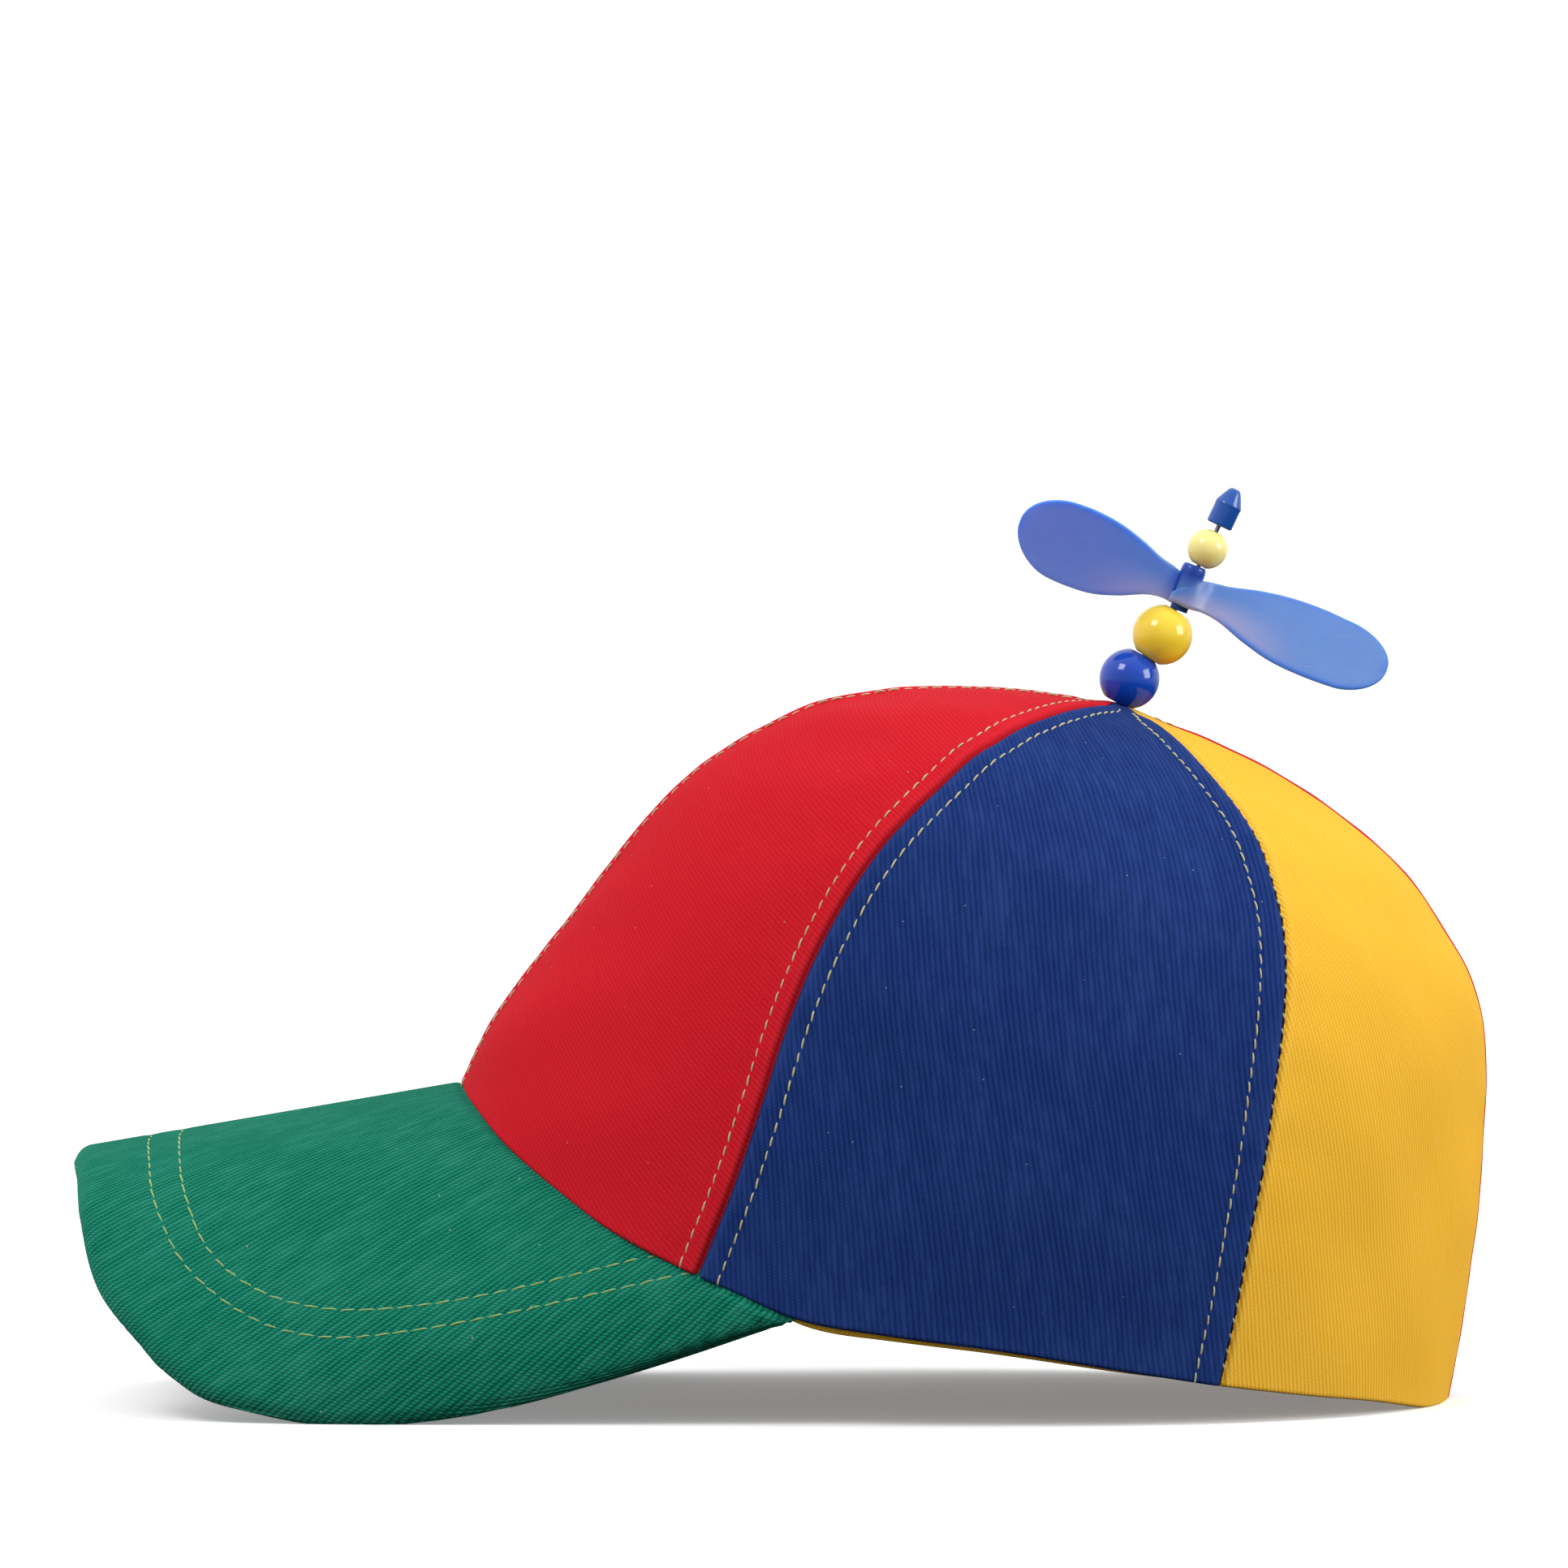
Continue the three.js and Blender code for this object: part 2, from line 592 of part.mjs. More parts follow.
function propellerGeometry() {
  const bore = boreRadius(HUB_PLAY);
  const waist = lerp(bore, HUB_DIAMETER / 2, HUB_WAIST);
  const outline = [
    [bore, -HUB_HEIGHT / 2],
    [waist, -HUB_HEIGHT / 2],
    [HUB_DIAMETER / 2, -HUB_HEIGHT / 4],
    [HUB_DIAMETER / 2, HUB_HEIGHT / 2],
    [bore, HUB_HEIGHT / 2],
  ];
  const hub = turnedGeometry([...outline, outline[0]], BEAD_SIDES);
  const long = bladeGeometry(LONG_BLADE_REACH, -BLADE_SKEW);
  const short = bladeGeometry(SHORT_BLADE_REACH, BLADE_SKEW);
  short.rotateZ(Math.PI);
  return geometryOf(solidOf(hub).add(solidOf(long)).add(solidOf(short)));
}

function footGeometry() {
  const bore = boreRadius(2 * PIECE_GAP);
  const outline = [
    [bore, -FOOT_THICKNESS / 2],
    [FOOT_DIAMETER / 2, -FOOT_THICKNESS / 2],
    [FOOT_DIAMETER / 2, FOOT_THICKNESS / 2],
    [bore, FOOT_THICKNESS / 2],
  ];
  return turnedGeometry([...outline, outline[0]], BEAD_SIDES);
}

function meshOf(name, geometry, finish) {
  const mesh = new THREE.Mesh(geometry, new THREE.MeshStandardMaterial(FINISHES[finish]));
  mesh.name = name;
  return mesh;
}

// A piece on the wire: moved to its place, and leaned from the crown's axis with the wire unless it
// has a lean of its own. slack is how far it hangs off the wire.
function onWire(mesh, distance, { lean, slack = 0 } = {}) {
  const place = wirePlace(distance);
  const tilt = degToRad(lean ?? place.lean);
  const aside = new THREE.Vector3(Math.cos(tilt), 0, -Math.sin(tilt));
  mesh.position.copy(rested(place.point.addScaledVector(aside, slack)));
  mesh.rotation.y = REST.tip + tilt;
  return mesh;
}

// The foot's middle below the apex: the foot lies under the lowest point of the panels' inner faces
// that it reaches.
function footDepth() {
  const samples = 60;
  const lowestShare = 0.7;
  let lowest = CROWN_HEIGHT;
  for (let i = 0; i < PANEL_COUNT * samples; i += 1) {
    for (let k = 0; k <= samples; k += 1) {
      const point = crownPoint(i / samples, lerp(1, lowestShare, k / samples), PANEL_WALL);
      const reach = Math.hypot(point.x - apex.x, point.y);
      if (reach <= FOOT_DIAMETER / 2 + PIECE_GAP) lowest = Math.min(lowest, point.z);
    }
  }
  return CROWN_HEIGHT - lowest + PIECE_GAP + FOOT_THICKNESS / 2;
}

const cloth = PANELS.map(({ name, finish }, i) => meshOf(name, panelGeometry(i), finish));
cloth.push(meshOf("visor", visorGeometry(), "greenTwill"));
cloth.push(meshOf("sweatband", bandGeometry(), "yellowTwill"));

const largeBead = () => beadGeometry(LARGE_BEAD_DIAMETER, LARGE_BEAD_HEIGHT, LARGE_BEAD_PLAY);
const smallBead = beadGeometry(SMALL_BEAD_DIAMETER, SMALL_BEAD_HEIGHT, SMALL_BEAD_PLAY);
const upperSlack = (UPPER_BEAD_SLACK * LARGE_BEAD_PLAY) / 2;
const topper = [
  meshOf("wire", wireGeometry(), "steel"),
  onWire(meshOf("wire_foot", footGeometry(), "whiteFoot"), -footDepth(), { lean: 0 }),
  onWire(meshOf("lower_bead", largeBead(), "blueBead"), LOWER_BEAD_AT),
  onWire(meshOf("upper_bead", largeBead(), "yellowBead"), UPPER_BEAD_AT, { slack: upperSlack }),
  onWire(meshOf("propeller", propellerGeometry(), "blueBlade"), HUB_AT, { lean: HUB_LEAN }),
  onWire(meshOf("small_bead", smallBead, "paleBead"), SMALL_BEAD_AT),
  onWire(meshOf("end_cap", endCapGeometry(), "blueCap"), END_CAP_BASE_AT),
];

const cap = new THREE.Group();
cap.add(...cloth, ...topper);
const box = new THREE.Box3().setFromObject(cap, true);
cap.position.x = -(box.min.x + box.max.x) / 2;
const model = new THREE.Group();
model.add(cap);

export default model;
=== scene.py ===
import logging
import math
from dataclasses import dataclass, field
from enum import Enum

import bpy
import numpy as np
from mathutils.kdtree import KDTree
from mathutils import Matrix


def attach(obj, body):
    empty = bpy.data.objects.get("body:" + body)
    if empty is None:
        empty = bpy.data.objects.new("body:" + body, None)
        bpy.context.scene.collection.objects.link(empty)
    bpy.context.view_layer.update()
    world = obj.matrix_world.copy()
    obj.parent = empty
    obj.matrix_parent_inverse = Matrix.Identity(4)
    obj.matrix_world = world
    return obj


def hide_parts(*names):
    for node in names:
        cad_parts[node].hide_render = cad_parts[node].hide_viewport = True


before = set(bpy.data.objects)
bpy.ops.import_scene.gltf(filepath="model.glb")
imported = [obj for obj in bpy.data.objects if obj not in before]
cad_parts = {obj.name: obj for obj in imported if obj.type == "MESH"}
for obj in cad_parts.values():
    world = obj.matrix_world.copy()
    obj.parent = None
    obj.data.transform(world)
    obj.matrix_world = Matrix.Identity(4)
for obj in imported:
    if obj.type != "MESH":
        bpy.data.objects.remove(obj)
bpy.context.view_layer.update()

MM = 0.001
LOG = logging.getLogger("propeller_cap")

# Level sections of the crown: level, height, front, back, side, front seam, back seam, ridge.
CROWN_RINGS = (
    (0, 0, 1, 1, 1, 0.465, 0.539, 0.006),
    (1, 0.12, 0.981, 0.985, 0.996, 0.46, 0.533, 0.01),
    (2, 0.235, 0.941, 0.965, 0.985, 0.475, 0.527, 0.014),
    (3, 0.345, 0.895, 0.945, 0.965, 0.497, 0.524, 0.018),
    (4, 0.46, 0.85, 0.915, 0.935, 0.507, 0.519, 0.02),
    (5, 0.57, 0.801, 0.885, 0.888, 0.503, 0.514, 0.022),
    (6, 0.66, 0.747, 0.848, 0.832, 0.492, 0.509, 0.024),
    (7, 0.73, 0.687, 0.8, 0.772, 0.477, 0.505, 0.026),
    (8, 0.79, 0.623, 0.732, 0.705, 0.463, 0.502, 0.028),
    (9, 0.845, 0.554, 0.661, 0.63, 0.453, 0.495, 0.03),
    (10, 0.88, 0.483, 0.603, 0.562, 0.446, 0.48, 0.03),
    (11, 0.912, 0.41, 0.528, 0.488, 0.443, 0.463, 0.03),
    (12, 0.945, 0.304, 0.43, 0.385, 0.443, 0.44, 0.03),
    (13, 0.972, 0.194, 0.318, 0.272, 0.45, 0.43, 0.03),
    (14, 0.987, 0.105, 0.215, 0.17, 0.47, 0.45, 0.02),
    (15, 0.996, 0.04, 0.11, 0.075, 0.49, 0.48, 0.01),
    (16, 1, 0, 0, 0, 0.5, 0.5, 0),
)

# The hem's height round the head: bearing from the front in degrees, rise as a share of the height.
HEM_LINE = (
    (0, 0.006), (16, -0.022), (28, -0.06), (40, -0.1), (49, -0.13), (58, -0.149), (67, -0.162),
    (75, -0.172), (85, -0.15), (97, -0.117), (112, -0.086), (122, -0.067), (133, -0.046),
    (147, -0.024), (164, -0.016), (180, -0.006),
)

# Ribs of the visor from its middle to the temple: across, forward, inward, down.
VISOR_RIBS = (
    (0, 0.931, 0, 0.472), (0.217, 0.961, 0.008, 0.474), (0.367, 1.014, 0.013, 0.505),
    (0.533, 1.066, 0.039, 0.594), (0.653, 1.076, 0.053, 0.635), (0.75, 1.095, 0.072, 0.669),
    (0.833, 1.043, 0.076, 0.682), (0.892, 0.828, 0.072, 0.628), (0.955, 0.488, 0.067, 0.405),
    (1, 0.02, 0.003, 0.012),
)

# How much of the sweatband shows below the hem, by bearing, as a share of its full showing.
BAND_LINE = (
    (0, -0.5), (40, -0.5), (71, -0.5), (75, 0.9), (88, 1), (112, 0.4), (124, -0.4), (150, -0.4),
    (180, -0.4),
)

# The wire's lean from the crown's axis towards the back, by its share of the length above the apex.
WIRE_LEANS = (
    (-0.2, 0), (0, 3), (0.12, 11), (0.24, 18), (0.36, 16), (0.58, 11), (0.78, 9.5), (1, 6),
)

# Sections of a blade from the hub out: reach, chord, centre, pitch.
BLADE_SECTIONS = (
    (-0.12, 0.05, -0.14, 84), (-0.06, 0.18, -0.09, 80), (0, 0.31, -0.04, 73),
    (0.06, 0.35, -0.015, 67), (0.15, 0.43, -0.01, 61), (0.3, 0.69, -0.02, 55),
    (0.45, 0.9, -0.03, 51), (0.62, 1, -0.03, 48), (0.77, 1, -0.03, 46),
    (0.88, 0.98, -0.02, 45), (0.95, 0.96, -0.01, 45), (1, 0.95, 0, 45),
)

# The visor's two rows of stitches from its middle to the temple: step, across, along.
VISOR_OUTER_ROW = (
    (0, 0, 0.805), (1, 0.12, 0.811), (2, 0.24, 0.82), (3, 0.36, 0.824), (4, 0.465, 0.815),
    (5, 0.58, 0.797), (6, 0.66, 0.773), (7, 0.72, 0.732), (8, 0.765, 0.66), (9, 0.79, 0.52),
    (10, 0.803, 0.36), (11, 0.812, 0.18), (12, 0.82, 0),
)
VISOR_INNER_ROW = (
    (0, 0, 0.725), (1, 0.12, 0.733), (2, 0.24, 0.746), (3, 0.35, 0.751), (4, 0.45, 0.75),
    (5, 0.54, 0.737), (6, 0.61, 0.712), (7, 0.665, 0.665), (8, 0.71, 0.585), (9, 0.737, 0.47),
    (10, 0.751, 0.33), (11, 0.755, 0.16), (12, 0.754, 0),
)

PANEL_COUNT = 6
TOP_LEVEL = len(CROWN_RINGS) - 1


class SmoothTable:
    """Rows of a table read as smooth curves, in the same way as in the CAD source."""

    def __init__(self, rows: tuple[tuple[float, ...], ...]) -> None:
        """Keep the rows.

        Args:
            rows: Each row's place first, then its values.
        """
        data = np.array(rows, dtype=float)
        self.places = data[:, 0]
        self.values = data[:, 1:]

    def read(self, place: np.ndarray | float) -> np.ndarray:
        """Read the curves at some places.

        Args:
            place: One place or an array of them.

        Returns:
            The values there, with one more axis than place.
        """
        last = len(self.places) - 1
        here = np.clip(np.asarray(place, dtype=float), self.places[0], self.places[last])
        after = np.clip(np.searchsorted(self.places, here, side="right"), 1, last)
        before = after - 1
        start, end = self.places[before], self.places[after]
        earlier = np.where(before > 0, before - 1, after)
        later = np.where(after < last, after + 1, before)
        half = (end - start) / 2
        lead = half / (start - self.places[earlier])
        trail = half / (self.places[later] - end)
        p = (here - start) / (end - start)
        weights = (
            (earlier, -lead * p**3 + 2 * lead * p**2 - lead * p),
            (before, (1 + lead) * p**3 + (-1.5 - 2 * lead) * p**2 + (-0.5 + lead) * p + 1),
            (after, (-1 - trail) * p**3 + (1.5 + trail) * p**2 + 0.5 * p),
            (later, trail * p**3 - trail * p**2),
        )
        return sum(weight[..., None] * self.values[rows] for rows, weight in weights)


RING_TABLE = SmoothTable(CROWN_RINGS)
HEM_TABLE = SmoothTable(HEM_LINE)
VISOR_TABLE = SmoothTable(VISOR_RIBS)
BAND_TABLE = SmoothTable(BAND_LINE)
WIRE_TABLE = SmoothTable(WIRE_LEANS)
BLADE_TABLE = SmoothTable(BLADE_SECTIONS)
VISOR_ROWS = (SmoothTable(VISOR_OUTER_ROW), SmoothTable(VISOR_INNER_ROW))


def lerp(a: np.ndarray | float, b: np.ndarray | float, share: np.ndarray | float) -> np.ndarray:
    """Return the value at a share of the way from a to b."""
    return a + (b - a) * share


def smooth_step(low: float, high: float, value: np.ndarray) -> np.ndarray:
    """Return 0 below low, 1 above high and a smooth rise between them."""
    share = np.clip((value - low) / (high - low), 0, 1)
    return share * share * (3 - 2 * share)


def unit(vectors: np.ndarray) -> np.ndarray:
    """Return the vectors at length 1."""
    return vectors / np.linalg.norm(vectors, axis=-1, keepdims=True)


def run_lengths(points: np.ndarray, axis: int) -> np.ndarray:
    """Return how far each point lies along its own row or column of a grid.

    Args:
        points: A grid of points, its last axis x, y and z.
        axis: The axis to go along.

    Returns:
        The lengths, 0 at the start of each line.
    """
    steps = np.linalg.norm(np.diff(points, axis=axis), axis=-1)
    start = np.zeros_like(np.take(steps, [0], axis=axis))
    return np.concatenate([start, np.cumsum(steps, axis=axis)], axis=axis)


@dataclass(frozen=True)
class RestingPlace:
    """How the cap stands: tipped back on the visor's two side edges and the back of its hem."""

    tip_deg: float = 17.585994
    lift: float = 31.137012
    shift: float = 34.020325

    def turn(self, vectors: np.ndarray) -> np.ndarray:
        """Return directions of the crown's frame as they are in the cap's resting frame."""
        tip = math.radians(self.tip_deg)
        x, y, z = vectors[..., 0], vectors[..., 1], vectors[..., 2]
        turned = (x * math.cos(tip) + z * math.sin(tip), y, z * math.cos(tip) - x * math.sin(tip))
        return np.stack(turned, axis=-1)

    def place(self, points: np.ndarray, cloth: bool = False) -> np.ndarray:
        """Put points of the crown's frame where the cap rests.

        Args:
            points: Points in millimetres.
            cloth: Whether they are cloth, which is pressed flat where the cap rests.

        Returns:
            The points in metres.
        """
        placed = self.turn(points) + np.array([self.shift, 0.0, self.lift])
        if cloth:
            placed[..., 2] = np.maximum(placed[..., 2], 0)
        return placed * MM


@dataclass(frozen=True)
class CrownForm:
    """The crown's outer face as a smooth surface, and the visor's ribs that start at its hem."""

    half_length: float = 103.0
    half_width: float = 82.0
    height: float = 111.4
    apex_forward: float = 1.5
    hole_radius: float = 0.8
    wall: float = 1.5
    surface_step: float = 0.04
    visor_length: float = 75.5
    visor_span: float = 1.2
    visor_gap: float = 0.3

    def bearing(self, panel: np.ndarray, ring: np.ndarray) -> np.ndarray:
        """Return the bearing from the front, in degrees, of a place on a level section.

        Args:
            panel: Panels counted from the front centre seam round by the wearer's left side.
            ring: The section's values.

        Returns:
            The bearing on either side of the head, from 0 to 180.
        """
        turn = np.mod(panel, PANEL_COUNT)
        place = np.minimum(turn, PANEL_COUNT - turn)
        front = np.degrees(np.arccos(ring[..., 4]))
        back = 180 - np.degrees(np.arccos(ring[..., 5]))
        rear = np.where(place <= 2, lerp(front, back, place - 1), lerp(back, 180, place - 2))
        return np.where(place <= 1, place * front, rear)

    def face(self, panel: np.ndarray, share: np.ndarray) -> np.ndarray:
        """Return points of the crown's outer face.

        Args:
            panel: Panels counted from the front centre seam.
            share: The way up a panel, from 0 at the hem to 1 at the apex hole.

        Returns:
            The points in millimetres in the crown's frame.
        """
        panel, share = np.broadcast_arrays(panel, share)
        ring = RING_TABLE.read(share * TOP_LEVEL)
        bearing = self.bearing(panel, ring)
        angle = np.radians(bearing)
        side = np.where(np.mod(panel, PANEL_COUNT) <= PANEL_COUNT / 2, -1.0, 1.0)
        ends = np.where(np.cos(angle) > 0, ring[..., 1], ring[..., 2])
        flat = 1 - ring[..., 6] * np.abs(np.sin(math.pi * panel))
        length = lerp(self.hole_radius, self.half_length, ends) * flat
        width = lerp(self.hole_radius, self.half_width, ring[..., 3]) * flat
        level = ring[..., 0]
        rise = HEM_TABLE.read(bearing)[..., 0] * (1 - level) ** 3
        x = -length * np.cos(angle) - self.apex_forward * level**2
        return np.stack((x, side * width * np.sin(angle), self.height * (level + rise)), axis=-1)

    def outward(self, panel: np.ndarray, share: np.ndarray) -> np.ndarray:
        """Return the directions that the outer face looks in, at the same places as face."""
        step = self.surface_step
        low, high = np.maximum(share - step, 0), np.minimum(share + step, 1)
        across = self.face(panel + step, share) - self.face(panel - step, share)
        up = self.face(panel, high) - self.face(panel, low)
        return unit(np.cross(across, up))

    def visor_rib(self, across: np.ndarray) -> tuple[np.ndarray, np.ndarray]:
        """Return where ribs of the visor start under the hem and end at the visor's edge.

        Args:
            across: From -1 at the right temple to 1 at the left one.

        Returns:
            The starts and the ends in millimetres.
        """
        rib = VISOR_TABLE.read(np.abs(across))
        panel, hem = across * self.visor_span, np.zeros_like(across)
        start = self.face(panel, hem) - self.wall * self.outward(panel, hem)
        start[..., 2] -= self.visor_gap
        side = np.where(across > 0, 1.0, -1.0)
        run = np.stack((-rib[..., 0], side * rib[..., 1], -rib[..., 2]), axis=-1)
        return start, start + run * self.visor_length

    def visor_face(self, across: np.ndarray, along: np.ndarray) -> np.ndarray:
        """Return points of the visor's upper face, along from 0 at the hem to 1 at the edge."""
        across, along = np.broadcast_arrays(across, along)
        start, end = self.visor_rib(across)
        return lerp(start, end, along[..., None])

    def visor_below(self, across: np.ndarray, along: np.ndarray) -> np.ndarray:
        """Return the directions from the visor's upper face to its lower face."""
        step = 0.02
        here = self.visor_face(across, along)
        wide = self.visor_face(np.minimum(across + step, 1), along) - self.visor_face(
            np.maximum(across - step, -1), along
        )
        out = self.visor_face(across, along + step) - self.visor_face(across, along - step)
        below = unit(np.cross(wide, out))
        inwards = -here[..., 1] * below[..., 1] - self.half_width * below[..., 2]
        return np.where(inwards[..., None] < 0, -below, below)


def linear_colour(hex_code: str) -> tuple[float, float, float, float]:
    """Turn an sRGB hex colour into the linear colour that shaders take.

    Args:
        hex_code: Such as "#c81c2a".

    Returns:
        Red, green, blue and an alpha of 1.
    """
    channels = [int(hex_code[i : i + 2], 16) / 255 for i in (1, 3, 5)]
    linear = [c / 12.92 if c <= 0.04045 else ((c + 0.055) / 1.055) ** 2.4 for c in channels]
    return (*linear, 1.0)


def add_node(
    tree: bpy.types.NodeTree,
    kind: str,
    inputs: dict | None = None,
    **settings: object,
) -> bpy.types.Node:
    """Add a node with its settings, its values and its links.

    Args:
        tree: The node tree that gets the node.
        kind: Blender's name for the node's type.
        inputs: By a socket's name or place, a value for it or an output socket to link to it.
        settings: Properties of the node itself.

    Returns:
        The node.
    """
    node = tree.nodes.new(kind)
    for name, value in settings.items():
        setattr(node, name, value)
    for key, value in (inputs or {}).items():
        if isinstance(value, bpy.types.NodeSocket):
            tree.links.new(value, node.inputs[key])
        else:
            node.inputs[key].default_value = value
    return node


def new_material(name: str, settings: dict) -> tuple[bpy.types.Material, bpy.types.Node]:
    """Start a material whose constants stand on the shader's own sockets.

    Args:
        name: The finish in a maker's words.
        settings: Values by the name of the shader's socket.

    Returns:
        The material and its shader node.
    """
    material = bpy.data.materials.new(name)
    material.use_nodes = True
    shader = material.node_tree.nodes["Principled BSDF"]
    for key, value in settings.items():
        shader.inputs[key].default_value = value
    return material, shader


@dataclass(frozen=True)
class TwillFinish:
    """Cotton twill, woven: fine slanted ribs of yarn with a soft, matt, slightly fuzzy face.

    Its ribs are 0.8 to 1.1 mm apart, each made of short floats of yarn. Single fibres are too fine
    to show, so a grain of 0.35 mm stands for them. Lengths are in millimetres on the cloth.
    """

    name: str
    yarn_hex: str
    # The groove colour is painted shade in the hollows of the weave.
    groove_shade_hex: str
    worn_hex: str
    rib_spacing: float = 0.88
    rib_deg: float = 0.0
    rib_contrast: float = 0.5
    float_length: float = 1.3
    float_shear: float = 0.37
    float_depth: float = 0.35
    grain: float = 0.5
    streak: float = 0.35
    pinholes: float = 0.0
    lint: float = 0.3
    relief: float = 0.1
    sheen: float = 0.06
    drift: float = 0.45
    drift_span: float = 24.0
    cloud_span: float = 28.0
    fibre: float = 0.35
    yarn_length: float = 9.0
    pinhole_size: float = 0.28
    lint_gap: float = 5.5
    lint_size: float = 0.032
    lint_hex: str = "#b9c4b4"

    def material(self) -> bpy.types.Material:
        """Build the cloth's material from its mesh's own map in millimetres."""
        sheen = {
            "Roughness": 0.95,
            "Specular IOR Level": 0.08,
            "Sheen Weight": self.sheen,
            "Sheen Roughness": 0.5,
            "Sheen Tint": linear_colour(self.worn_hex),
        }
        material, shader = new_material(self.name, sheen)
        tree = material.node_tree
        cloth = add_node(tree, "ShaderNodeUVMap", uv_map="cloth_mm").outputs[0]

        # The weave wanders a little, as cloth is never cut and sewn dead straight.
        drift = add_node(
            tree,
            "ShaderNodeTexNoise",
            {"Vector": cloth, "Scale": 1 / self.drift_span, "Detail": 2.0},
        )
        centred = add_node(
            tree,
            "ShaderNodeVectorMath",
            {0: drift.outputs["Color"], 1: (0.5, 0.5, 0.5)},
            operation="SUBTRACT",
        )
        moved = add_node(
            tree,
            "ShaderNodeVectorMath",
            {0: centred.outputs[0], 1: (self.drift * 2, self.drift * 2, 0.0), 2: cloth},
            operation="MULTIPLY_ADD",
        )
        turned = add_node(
            tree,
            "ShaderNodeMapping",
            {"Vector": moved.outputs[0], "Rotation": (0, 0, math.radians(self.rib_deg))},
        )
        axes = add_node(tree, "ShaderNodeSeparateXYZ", {0: turned.outputs[0]})

        # The floats slant across the ribs, which makes each rib look like a twisted rope.
        made = {"across": axes.outputs[0], "along": axes.outputs[1]}
        weave = (
            ("ribs", "MULTIPLY", "across", 1 / self.rib_spacing),
            ("rib_turn", "MULTIPLY", "ribs", 2 * math.pi),
            ("rib_wave", "SINE", "rib_turn"),
            ("rib", "MULTIPLY_ADD", "rib_wave", 0.5, 0.5),
            ("groove_to_groove", "ADD", "ribs", 0.25),
            ("number", "FLOOR", "groove_to_groove"),
            ("lengthwise", "MULTIPLY", "along", 1 / self.float_length),
            ("floats", "MULTIPLY_ADD", "ribs", -self.float_shear, "lengthwise"),
            ("float_turn", "MULTIPLY", "floats", math.pi),
            ("float_wave", "SINE", "float_turn"),
            ("dips", "ABSOLUTE", "float_wave"),
            ("round_dips", "POWER", "dips", 0.6),
            ("body", "MULTIPLY_ADD", "round_dips", self.float_depth, 1 - self.float_depth),
            ("round_rib", "POWER", "rib", 0.7),
            ("height", "MULTIPLY", "round_rib", "body"),
            ("yarn_across", "MULTIPLY", "number", 3.71),
            ("yarn_along", "MULTIPLY", "along", 1 / self.yarn_length),
        )
        for name, operation, *values in weave:
            inputs = {i: made.get(value, value) for i, value in enumerate(values)}
            made[name] = add_node(tree, "ShaderNodeMath", inputs, operation=operation).outputs[0]

        # Each yarn has its own tone and thickness, which shows as fine streaks along the ribs.
        place = {0: made["yarn_across"], 1: made["yarn_along"]}
        yarn_place = add_node(tree, "ShaderNodeCombineXYZ", place).outputs[0]
        noises = (
            ("yarn", yarn_place, 1.0, 3.0),
            ("fuzz", cloth, 1 / self.fibre, 2.0),
            ("cloud", cloth, 1 / self.cloud_span, 3.0),
        )
        for name, vector, scale, detail in noises:
            inputs = {"Vector": vector, "Scale": scale, "Detail": detail}
            made[name] = add_node(tree, "ShaderNodeTexNoise", inputs).outputs[0]
        wear = add_node(tree, "ShaderNodeAttribute", attribute_name="wear")
        made["wear"] = wear.outputs["Fac"]
        inputs = {"Vector": cloth, "Scale": 1 / self.lint_gap}
        made["from_speck"] = add_node(tree, "ShaderNodeTexVoronoi", inputs).outputs["Distance"]
        # The hollows between the ribs and along the floats are mixed towards the darker groove
        # colour: painted shade in the weave, on top of the bump.
        tones = (
            ("lightness", "MULTIPLY_ADD", "height", self.rib_contrast, 1 - self.rib_contrast),
            ("fuzz_tone", "SUBTRACT", "fuzz", 0.5),
            ("woven", "MULTIPLY_ADD", "fuzz_tone", self.grain, "lightness"),
            ("cloud_tone", "SUBTRACT", "cloud", 0.5),
            ("cloudy", "MULTIPLY", "cloud_tone", 0.5),
            ("yarn_tone", "SUBTRACT", "yarn", 0.42),
            ("tone", "ADD", "yarn_tone", "cloudy"),
            ("streaks", "MULTIPLY", "tone", self.streak),
            ("faded", "MULTIPLY_ADD", "wear", 0.3, "streaks"),
            ("off_float", "SUBTRACT", 1.0, "dips"),
            ("off_rib", "SUBTRACT", 1.0, "rib"),
            ("crossing", "MULTIPLY", "off_float", "off_rib"),
            ("hole", "GREATER_THAN", "crossing", 1 - self.pinhole_size),
            ("pinhole", "MULTIPLY", "hole", self.pinholes),
            ("at_speck", "LESS_THAN", "from_speck", self.lint_size),
            ("speck", "MULTIPLY", "at_speck", self.lint),
            ("raised", "MULTIPLY_ADD", "fuzz", 0.35, "height"),
        )
        for name, operation, *values in tones:
            inputs = {i: made.get(value, value) for i, value in enumerate(values)}
            made[name] = add_node(tree, "ShaderNodeMath", inputs, operation=operation).outputs[0]

        # Pinholes are small gaps where the yarns cross, in rows along the grooves; they take the
        # groove colour as painted shade in the gaps.
        layers = [("woven", self.yarn_hex), ("faded", self.worn_hex)]
        layers += [("pinhole", self.groove_shade_hex)] if self.pinholes else []
        layers += [("speck", self.lint_hex)]
        # The colour starts at the groove colour, the painted shade, and the yarn colour is mixed
        # over it on the crests.
        colour = linear_colour(self.groove_shade_hex)
        for name, hex_code in layers:
            inputs = {0: made[name], 6: colour, 7: linear_colour(hex_code)}
            colour = add_node(tree, "ShaderNodeMix", inputs, data_type="RGBA").outputs[2]
        tree.links.new(colour, shader.inputs["Base Color"])
        bump = add_node(
            tree,
            "ShaderNodeBump",
            {"Strength": 0.85, "Distance": self.relief * MM, "Height": made["raised"]},
        )
        tree.links.new(bump.outputs[0], shader.inputs["Normal"])
        return material


